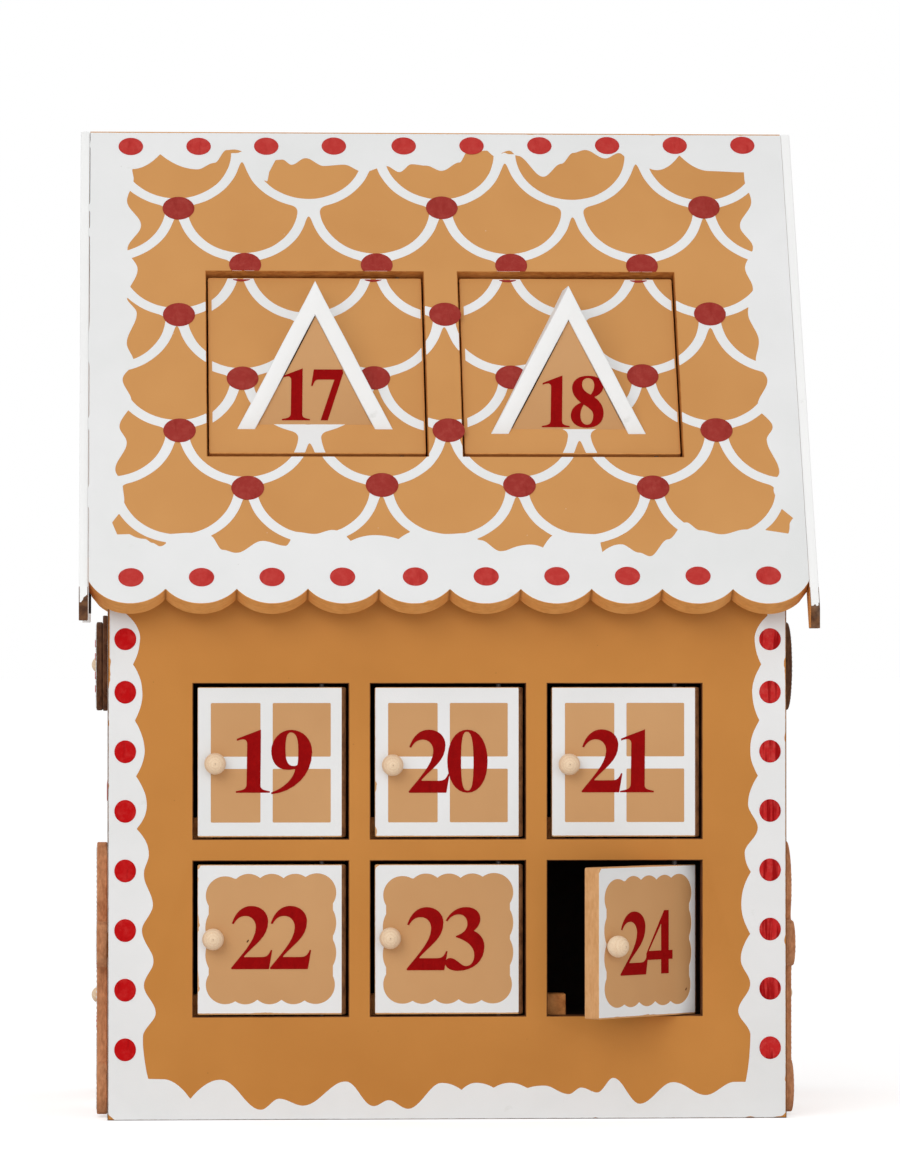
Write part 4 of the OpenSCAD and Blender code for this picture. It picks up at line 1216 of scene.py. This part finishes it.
def white_ground(d, x, z, seed, left, foot):
    """The white field on a wall door, with small chips at its left and along its foot."""
    return block(x - d.x0, z - d.z0, chips(x * 0, z, 0.15, seed, left), d.x1 - d.x0 - HINGE_ROUND - 0.1,
                 chips(x, z * 0, foot, seed + 1, 0.6), d.z1 - d.z0 - 0.3)


def window_print(d, seed):
    """A white frame with two by two panes left bare."""
    left, left_pane, bar, right_pane = 5.9, 22.4, 5.5, 26.2
    low, high, middle, r = 6.6, 24.2, 5.5, 0.5
    panes = [(x + w / 2, z + high / 2, w) for x, w in ((left, left_pane), (left + left_pane + bar, right_pane))
             for z in (low, low + high + middle)]

    def field(x, z):
        u, v = x - d.x0, z - d.z0
        paint = white_ground(d, x, z, seed, 1.2, 0.6)
        for cx, cz, w in panes:
            aside, up = np.abs(u - cx) - w / 2, np.abs(v - cz) - high / 2
            inside = np.maximum(aside, up)
            pane = np.hypot(np.maximum(aside + r, 0), np.maximum(up + r, 0)) - r
            paint = np.maximum(paint, -np.where(inside < -r, inside, pane))
        return paint
    return field


LOBE_R, SIDE_LOBE_R, CORNER_LOBE_R = 8.0, 12.0, 8.7
CORNER_LOBES = ((12.4, 53.7), (12.4, 13.5), (53.8, 55.0), (53.2, 13.5))


def scallop_print(d, seed):
    """A white ground whose bare middle has a lobed outline."""
    round_lobes = [(c, 63.5 - LOBE_R, LOBE_R) for c in (23.0, 33.4, 44.0)]
    round_lobes += [(c, 4.7 + LOBE_R, LOBE_R) for c in (21.5, 32.4, 43.2)]
    round_lobes += [(3.5 + SIDE_LOBE_R, c, SIDE_LOBE_R) for c in (39.4, 27.0)]
    round_lobes += [(62.5 - SIDE_LOBE_R, c, SIDE_LOBE_R) for c in (41.3, 27.9)]
    round_lobes += [(*c, CORNER_LOBE_R) for c in CORNER_LOBES]

    def field(x, z):
        u, v = x - d.x0, z - d.z0
        middle = [block(u, v, 5.0, 61.0, 13.0, 55.0), block(u, v, 12.0, 54.0, 6.7, 61.3)]
        middle += [disc(u, v, *lobe) for lobe in round_lobes]
        corner = 1.6 + ripple(x, z, 1.0, seed + 3) - (u + (d.z1 - d.z0 - v))
        return common([white_ground(d, x, z, seed, 1.4, 0.7), corner, -joined(middle)])
    return field


def lobed_frame(d, seed):
    """A narrow icing line round a side door, lobed on its inner edge."""
    def field(x, z):
        left, right, low, high = x - d.x0, d.x1 - 1.2 - x, z - d.z0, d.z1 - z
        across, upright = np.minimum(left, right), np.minimum(low, high)
        inner = np.where(across < upright, across - 2.6 - lobes(low, 9.6, 1.8), upright - 2.6 - lobes(left, 9.5, 1.8))
        near = np.minimum(across, upright)
        return np.maximum(inner, 0.4 + 0.3 * ripple(x, z, 2, seed) - near)
    return field


# How far the print on the left and right roof door lies to the left of the roof's and below it
PRINT_OFF = ((1.25, 0.45), (1.0, -1.0))


def door_scales(d):
    """The roof's icing carried over a roof door, not quite in line with the roof round it."""
    aside, drop = PRINT_OFF[d.place]

    def field(x, s):
        ground = block(x, s, d.x0 + 1.7, d.x1 - 0.7, d.z0 + 0.5, d.z1 - 0.5)
        return np.maximum(roof_icing(x + aside, s + drop), ground)
    return field


def hang(d, slot, field, step, keep, decorate):
    """Makes a door's leaf, and its paint: the white field, then what decorate adds."""
    node = "door_" + d.name
    settle(d.make(leaf(d), node), d.body, slot, node)
    art = Shell()
    art.coat(painted_outline(field, d.x0, d.x1, d.z0, d.z1, step, keep), d.y, "white")
    decorate(d, art)
    settle(d.make(art, "painting_" + d.name), d.body, "white_paint")


# Where the numbers and the two nicks in the paint are on the front doors
NUMBER_H, SIDE_NUMBER_H, LOW_NUMBER_H, DORMER_NUMBER_H = 28.5, 24.0, 26.0, 23.7
NUMBER_OFF = {19: (1.4, 0.1), 21: (-3.2, 0.1), 22: (0.1, 0.6), 23: (-1.2, -0.1), 24: (-1.1, -1.4)}
NICKS = {22: (22.6, 33.2), 24: (58.8, 11.4)}


def wall_number(d, art):
    aside, up = NUMBER_OFF.get(d.n, (0, 0))
    number_coats(art, d.n, d.x + aside, d.z + up, NUMBER_H, d.y)
    if d.n in NICKS:
        u, v = NICKS[d.n]
        nick = circle(0, 0, 0.35, 10) * (1, 2.2) @ np.array([(0.8, -0.6), (0.6, 0.8)])
        art.coat([nick + (d.x0 + u, d.z0 + v)], d.y, "cut_raw", 0.12)


def side_number(d, art):
    place = (d.x + 25.5, d.z, SIDE_NUMBER_H) if d.high else (d.x + 23.0, 42.0, LOW_NUMBER_H)
    number_coats(art, d.n, *place, d.y, d.flip)


def door_spots(d, art):
    for (x, _), aside, low in zip(CUT_SPOTS, DOOR_SPOT_OFF, DOOR_SPOT_LOW):
        if d.x0 < x < d.x1:
            cut_spot(art, x, DOOR_SPOT_CUT, d.z1 + 4.3, d.y, lambda gx, gs: gs - d.z1 + 0.9, 171, 180, 0.2)
            spot_row(art, 1, (x - aside, low), (0, 0), 7.3, 6.4, d.y - PAINT_T, "roof_red")


def turned(profile, around):
    """Spins a profile of (radius, depth) from the inner end to the outer pole, closed at both ends."""
    points, faces = [], []
    for radius, y in profile:
        for k in range(around):
            a = 2 * math.pi * k / around
            points.append((radius * math.cos(a), y, radius * math.sin(a)))
    n = len(profile)
    for i in range(n - 1):
        for k in range(around):
            j = (k + 1) % around
            a, b = i * around, (i + 1) * around
            faces.append((a + k, a + j, b + j, b + k))
    first, last = len(points), len(points) + 1
    points += [(0, profile[0][1], 0), (0, profile[-1][1] - 0.012, 0)]
    for k in range(around):
        j = (k + 1) % around
        faces.append((first, j, k))
        faces.append((last, (n - 1) * around + k, (n - 1) * around + j))
    return np.array(points), faces


PEG_R, PEG_IN, TIP_ANGLE = 1.6, 2.0, 0.10


def knob_shell(shell, cx, cz, r, out):
    """A turned ball knob: peg stub, small foot, then the ball, a little flattened at its tip."""
    cy = r - out
    foot_angle = math.acos(max(-1.0, min(1.0, cy / r)))
    profile = [(PEG_R, PEG_IN), (PEG_R, 0.0)]
    for i in range(13):
        a = (math.pi - foot_angle) + (foot_angle - TIP_ANGLE) * i / 12
        profile.append((r * math.sin(a), cy + r * math.cos(a)))
    points, faces = turned(profile, 32)
    shell.add(points + (cx, 0, cz), faces, "knob", True)


def knob(d):
    shell = Shell()
    knob_shell(shell, d.knob_x, d.knob_z, KNOB_D / 2, KNOB_OUT)
    node = "knob_" + d.name
    settle(d.make(shell, node, (d.knob_x, 0, d.knob_z)), d.body, "knob_wood", node)


# ---- Dormers ----

# On the left and right dormer: the number's place, and the painted shadow line beside the triangle from one
# share of its side to another, its least width and what its middle adds
DORMER_NUMBER = ((-1.1, 13.9), (2.0, 12.9))
DORMER_SHADE_LINE = ((0.01, 0.62, 0.3, 0.35), (0.1, 0.95, 0.3, 0.25))


def stretch(a, b, steps, shift=lambda i: 0.0):
    """Points between two corners, moved a little aside."""
    return [a * (1 - i / steps) + b * (i / steps) + (shift(i), 0) for i in range(1, steps)]


def dormer(d):
    """An upright tan triangle under two white boards, cut off at the door's face."""
    shell = Shell()
    rise = DORMER_H / DORMER_HALF
    up = DORMER_BOARD * math.sqrt(1 + rise * rise)
    low = -DORMER_LIP * math.tan(PITCH) + 0.1

    def cut_off(loop, least):
        """The far end of a loop, on the door's face."""
        return [np.column_stack([loop[:, 0], np.maximum(loop[:, 1] / math.tan(PITCH) - 0.03, least), loop[:, 1]])]

    half = DORMER_HALF - 0.25
    loop = np.array([(-half, 0.1), (half, 0.1), (0.3, DORMER_H - 0.5), (-0.3, DORMER_H - 0.5)])
    layers = [at_depth([offset(loop, 0.1)], 0), at_depth([loop], 0.05), cut_off(loop, 0.06)]
    shell.stack(layers, "light_tan", "light_tan", "cut_raw")
    number_coats(shell, d.n, *DORMER_NUMBER[d.place], DORMER_NUMBER_H, 0)

    inner_top, inner_foot = np.array([(0.0, DORMER_H + 0.1), (DORMER_HALF - low / rise + 0.1, low)])
    outer_foot, outer_top = np.array([(DORMER_HALF + (up - low) / rise, low), (0.0, DORMER_H + up)])
    right = np.array([inner_top, *stretch(inner_top, inner_foot, 8, lambda i: 0.16 * math.sin(i * 12.9 + d.n * 3.1)),
                      inner_foot, *stretch(inner_foot, outer_foot, 5),
                      outer_foot, *stretch(outer_foot, outer_top, 8, lambda i: -0.1 - 0.1 * math.sin(i * 7.7 + d.n)),
                      outer_top])
    loop = np.vstack([right, (right[1:-1] * (-1, 1))[::-1]])
    near, ease = -DORMER_LIP, 0.35
    layers = [at_depth([offset(loop, e)], y) for e, y in ((ease, near), (ease * 0.3, near + 0.1), (0, near + ease))]
    shell.stack(layers + [cut_off(loop, near + ease + 0.02)], "dormer_white", "white", "cut_raw")

    # Painted shadow: a near-black line along the triangle's left side, where the board's shadow falls.
    if d.face == "front roof":
        first, last, narrow, wide = DORMER_SHADE_LINE[d.place]
        share = np.linspace(first, last, 12)[:, None]
        x, z = (inner_top * (1 - share) + inner_foot * share).T
        open_by = narrow + wide * np.sin(np.pi * np.linspace(0, 1, 12)) ** 0.7
        shade_line = np.vstack([np.column_stack([-x - 0.6, z]), np.column_stack([open_by - x, z])[::-1]])
        shell.coat([shade_line], 0, "dark_board", 0.08)

    foot_y = -EAVE_Y + DORMER_V[d.place] * math.cos(PITCH) + RECESS * math.sin(PITCH)
    foot_z = EAVE_Z + DORMER_V[d.place] * math.sin(PITCH) - RECESS * math.cos(PITCH)
    place = Matrix.Translation((DORMER_X[d.place], foot_y, foot_z))
    if d.face == "back roof":
        place = HALF_TURN @ place
    node = "dormer_" + d.name
    settle(shell.make(node, "world", place=place), d.body, "pale_paint", node)


# ---- Cookies and figures on the side doors ----

def knob_hole(d):
    return circle(d.knob_x, d.knob_z, SIDE_KNOB_D / 2 + 0.3, 32)[::-1]


def plaque(d, shell, kind, slot):
    """Adds the knob to a cookie or figure and hangs both on the door."""
    knob_shell(shell, d.knob_x, d.knob_z, SIDE_KNOB_D / 2, SIDE_KNOB_OUT)
    node = kind + "_" + d.name
    settle(d.make(shell, node), d.body, slot, node)


# The icing on a cookie: the radii of its swirl, beads and spots
SWIRL_OUT, SWIRL_IN, BEAD_RING, SPOT_RING, SWIRL_T = 15.2, 6.2, 18.7, 11.2, 0.35


def cookie(d):
    """Two round discs with a lobed swirl of icing, a ring of beads and eight red spots."""
    shell = Shell()
    cx, cz = d.knob_x, d.z + ICING_DROP / 2
    front, middle = -COOKIE_T - ICING_T, cz - ICING_DROP
    hole = knob_hole(d)
    shell.panel([circle(cx, cz, COOKIE_R), hole], -COOKIE_T, 0, "icing_brown", "cookie", "cookie", 0.5)
    shell.panel([circle(cx, middle, ICING_R), hole], front, -COOKIE_T + 0.05, "icing_brown", "cookie", "cookie", 0.6)

    def swirl(x, z):
        a = np.arctan2(z - middle, x - cx)
        reach = np.hypot(x - cx, z - middle)
        return np.maximum(reach - SWIRL_OUT - 1.5 * np.cos(9 * a + 0.6) - 0.5 * np.sin(4 * a), SWIRL_IN - reach)
    shell.coat(painted_outline(swirl, cx - 19, cx + 19, middle - 19, middle + 19, 0.3), front, "white", SWIRL_T)
    bead_line(shell, circle(cx, middle, BEAD_RING, 60), front, 0.6, 2.1, "white")
    for k in range(8):
        a = math.radians(22 + 45 * k)
        at = (cx + SPOT_RING * math.cos(a), middle + SPOT_RING * math.sin(a))
        spot_row(shell, 1, at, (0, 0), 1.7, 1.7, front - SWIRL_T, "red")
    plaque(d, shell, "cookie", "cookie_brown")


def limb(x, z, x0, z0, x1, z1, r):
    dx, dz = x1 - x0, z1 - z0
    t = np.clip(((x - x0) * dx + (z - z0) * dz) / (dx * dx + dz * dz), 0, 1)
    return np.hypot(x - x0 - t * dx, z - z0 - t * dz) - r


# The figure stands at height 0
TRUNK_HALF, TRUNK_LOW = 19, 12.2
ARM_Z, ARM_REACH, ARM_R = 77.5, 26.6, 10.4
HEAD_Z, HEAD_R, FOOT_X, FOOT_R = 102.9, 20.4, 18.4, 12.2


def figure_field(x, z):
    """A gingerbread figure: head, arms, body and feet, joined by round webs."""
    trunk = block(x, z, -TRUNK_HALF, TRUNK_HALF, TRUNK_LOW, ARM_Z)
    shape = melted(trunk, limb(x, z, -ARM_REACH, ARM_Z, ARM_REACH, ARM_Z, ARM_R), 5)
    shape = melted(shape, disc(x, z, 0, HEAD_Z, HEAD_R), 6)
    for side in (-FOOT_X, FOOT_X):
        shape = np.minimum(shape, disc(x, z, side, TRUNK_LOW, FOOT_R))
    return np.maximum(shape, -limb(x, z, 0, 0, 0, 27, 5.5))


def cuff_field(x, z):
    """Wavy lines round the figure's wrists and ankles."""
    wrist = np.abs(np.abs(x) - 27.5 - 0.9 * np.sin(z * 0.9)) - 1.1
    ankle = np.abs(z - 19.5 - 0.9 * np.sin(x * 0.9)) - 1.1
    return np.minimum(np.maximum(wrist, np.abs(z - ARM_Z) - 6.6), common([ankle, np.abs(x) - 23.5, 9.2 - np.abs(x)]))


def figure(d):
    shell = Shell()
    cx, foot, size = d.knob_x, FIGURE_FOOT_Z, d.size

    def outline(field, inside, tall, step, keep):
        return painted_outline(lambda x, z: size * field((x - cx) / size, (z - foot) / size) + inside,
                               cx - 40, cx + 40, foot, foot + tall, step, keep)
    shell.panel(outline(figure_field, 0.15, 125, 0.8, 0.06) + [knob_hole(d)], -FIGURE_T, 0,
                "figure_face", "figure_edge", "figure_edge", 0.6)
    for loop in outline(figure_field, 3.0, 125, 0.8, 0.06):
        bead_line(shell, loop, -FIGURE_T, 0.75, 2.4, "white")
    shell.coat(outline(cuff_field, 0, 90, 0.3, 0.03), -FIGURE_T, "white", 0.4)
    for z in (d.knob_z + 15.5, foot + 40.5 * size):
        spot_row(shell, 1, (cx, z), (0, 0), 3.4, 3.4, -FIGURE_T, "red")
    plaque(d, shell, "figure", "figure_brown")


# ---- Stop blocks ----

BLOCK_W, BLOCK_H, BLOCK_DEPTH, BLOCK_LOW = 9.0, 10.4, 10.0, 1.0


def stop_blocks():
    """A small eased block behind each door's free corner; mirrored doors have theirs on the other side."""
    whole = Shell()
    for hold, faces_held in ((2.0, ("front", "back")), (4.0, ("left", "right", "front roof", "back roof"))):
        first = Shell()
        outline = rectangle(0, BLOCK_W + hold, 0, BLOCK_H, 0.7, 3)
        # The blocks take the colour lightened as painted light.
        first.panel([outline], 0.02, BLOCK_DEPTH, "block", "block", "block", 0.7)
        model = first.make("block_model", "world")
        model.data.transform(Matrix.Scale(1000, 4))
        for face in faces_held:
            for flip in (False, True):
                places = [(d.x - d.w / 2 - hold, WALL_T, d.z - d.h / 2 - BLOCK_LOW)
                          for d in DOORS if d.face == face and d.flip == flip]
                if places:
                    points, faces = BLOCKS.run(places, [], Block=model, Finish=FINISHES["block"])
                    whole.add(*into_house(points, faces, face, flip), "block", True)
        bpy.data.objects.remove(model)
    settle(whole.make("stop_blocks", "world"), "house", "raw_board", "stop_blocks")


# ---- Everything ----

end_wall("front", "front_wall", 11)
end_wall("back", "back_wall", 31)
side_wall("left", "left_wall", 51)
side_wall("right", "right_wall", 71)
roof_board("front roof", "front_roof", 91)
roof_board("back roof", "back_roof", 111)
bargeboards()
stop_blocks()
for d in DOORS:
    if d.roof:
        hang(d, "tan_paint", door_scales(d), 0.3, 0.03, door_spots)
        dormer(d)
    elif d.side:
        hang(d, "tan_paint", lobed_frame(d, d.n * 7), 0.3, 0.02, side_number)
        (cookie if d.high else figure)(d)
    else:
        pattern = window_print if d.high else scallop_print
        hang(d, "pale_paint", pattern(d, d.n * 7), 0.25, 0.02, wall_number)
        knob(d)

# The shelves and dividers are near black, painted shade for the dark inside.
for name, finish in (("shelves", "dark_board"), ("dividers", "dark_board"), ("base_board", "base"),
                     ("hinge_rods", "steel")):
    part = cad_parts[name]
    part.data.materials.clear()
    part.data.materials.append(FINISHES[finish])


# ---- Floor and light ----

FLOOR_HALF, FLOOR_Z, FLOOR_GREY, FLOOR_GLOW, WORLD_LEVEL = 60.0, -0.0002, 0.86, 0.5, 0.55


def floor():
    mesh = bpy.data.meshes.new("floor")
    r = FLOOR_HALF
    mesh.from_pydata([(-r, -r, 0), (r, -r, 0), (r, r, 0), (-r, r, 0)], [], [(0, 1, 2, 3)])
    ground = bpy.data.objects.new("floor", mesh)
    bpy.context.scene.collection.objects.link(ground)
    ground.location = (0, 0, FLOOR_Z)
    mat = bpy.data.materials.new("floor_white")
    mat.use_nodes = True
    tree = Tree(mat.node_tree)
    glow = tree.math("MULTIPLY", tree.node("LightPath", {}).outputs["Is Camera Ray"], FLOOR_GLOW)
    for name, value in (("Base Color", (FLOOR_GREY, FLOOR_GREY, FLOOR_GREY, 1)), ("Roughness", 0.9),
                        ("Emission Color", (1, 1, 1, 1)), ("Emission Strength", glow)):
        tree.set(mat.node_tree.nodes["Principled BSDF"].inputs[name], value)
    mesh.materials.append(mat)


def area_light(name, place, aim, size, power):
    data = bpy.data.lights.new(name, "AREA")
    data.shape = "DISK"
    data.size = size
    data.energy = power
    lamp = bpy.data.objects.new(name, data)
    bpy.context.scene.collection.objects.link(lamp)
    lamp.location = place
    lamp.rotation_euler = (Vector(aim) - Vector(place)).to_track_quat("-Z", "Y").to_euler()


def light():
    world = bpy.data.worlds.new("studio")
    bpy.context.scene.world = world
    world.use_nodes = True
    tree = Tree(world.node_tree)
    path = tree.node("LightPath", {}).outputs
    seen = tree.math("MAXIMUM", path["Is Camera Ray"], path["Is Glossy Ray"])
    level = tree.node("MapRange", {"Value": seen, "To Min": WORLD_LEVEL, "To Max": 1.0})
    for name, value in (("Color", (1, 1, 1, 1)), ("Strength", level)):
        tree.set(world.node_tree.nodes["Background"].inputs[name], value)
    area_light("window_light", (-1.2, -2.6, 1.7), (0, 0, 0.2), 2.2, 30)
    area_light("front_fill", (0.9, -3.0, 0.5), (0, 0, 0.2), 2.4, 15)


floor()
light()
bpy.context.scene.view_settings.view_transform = "Standard"
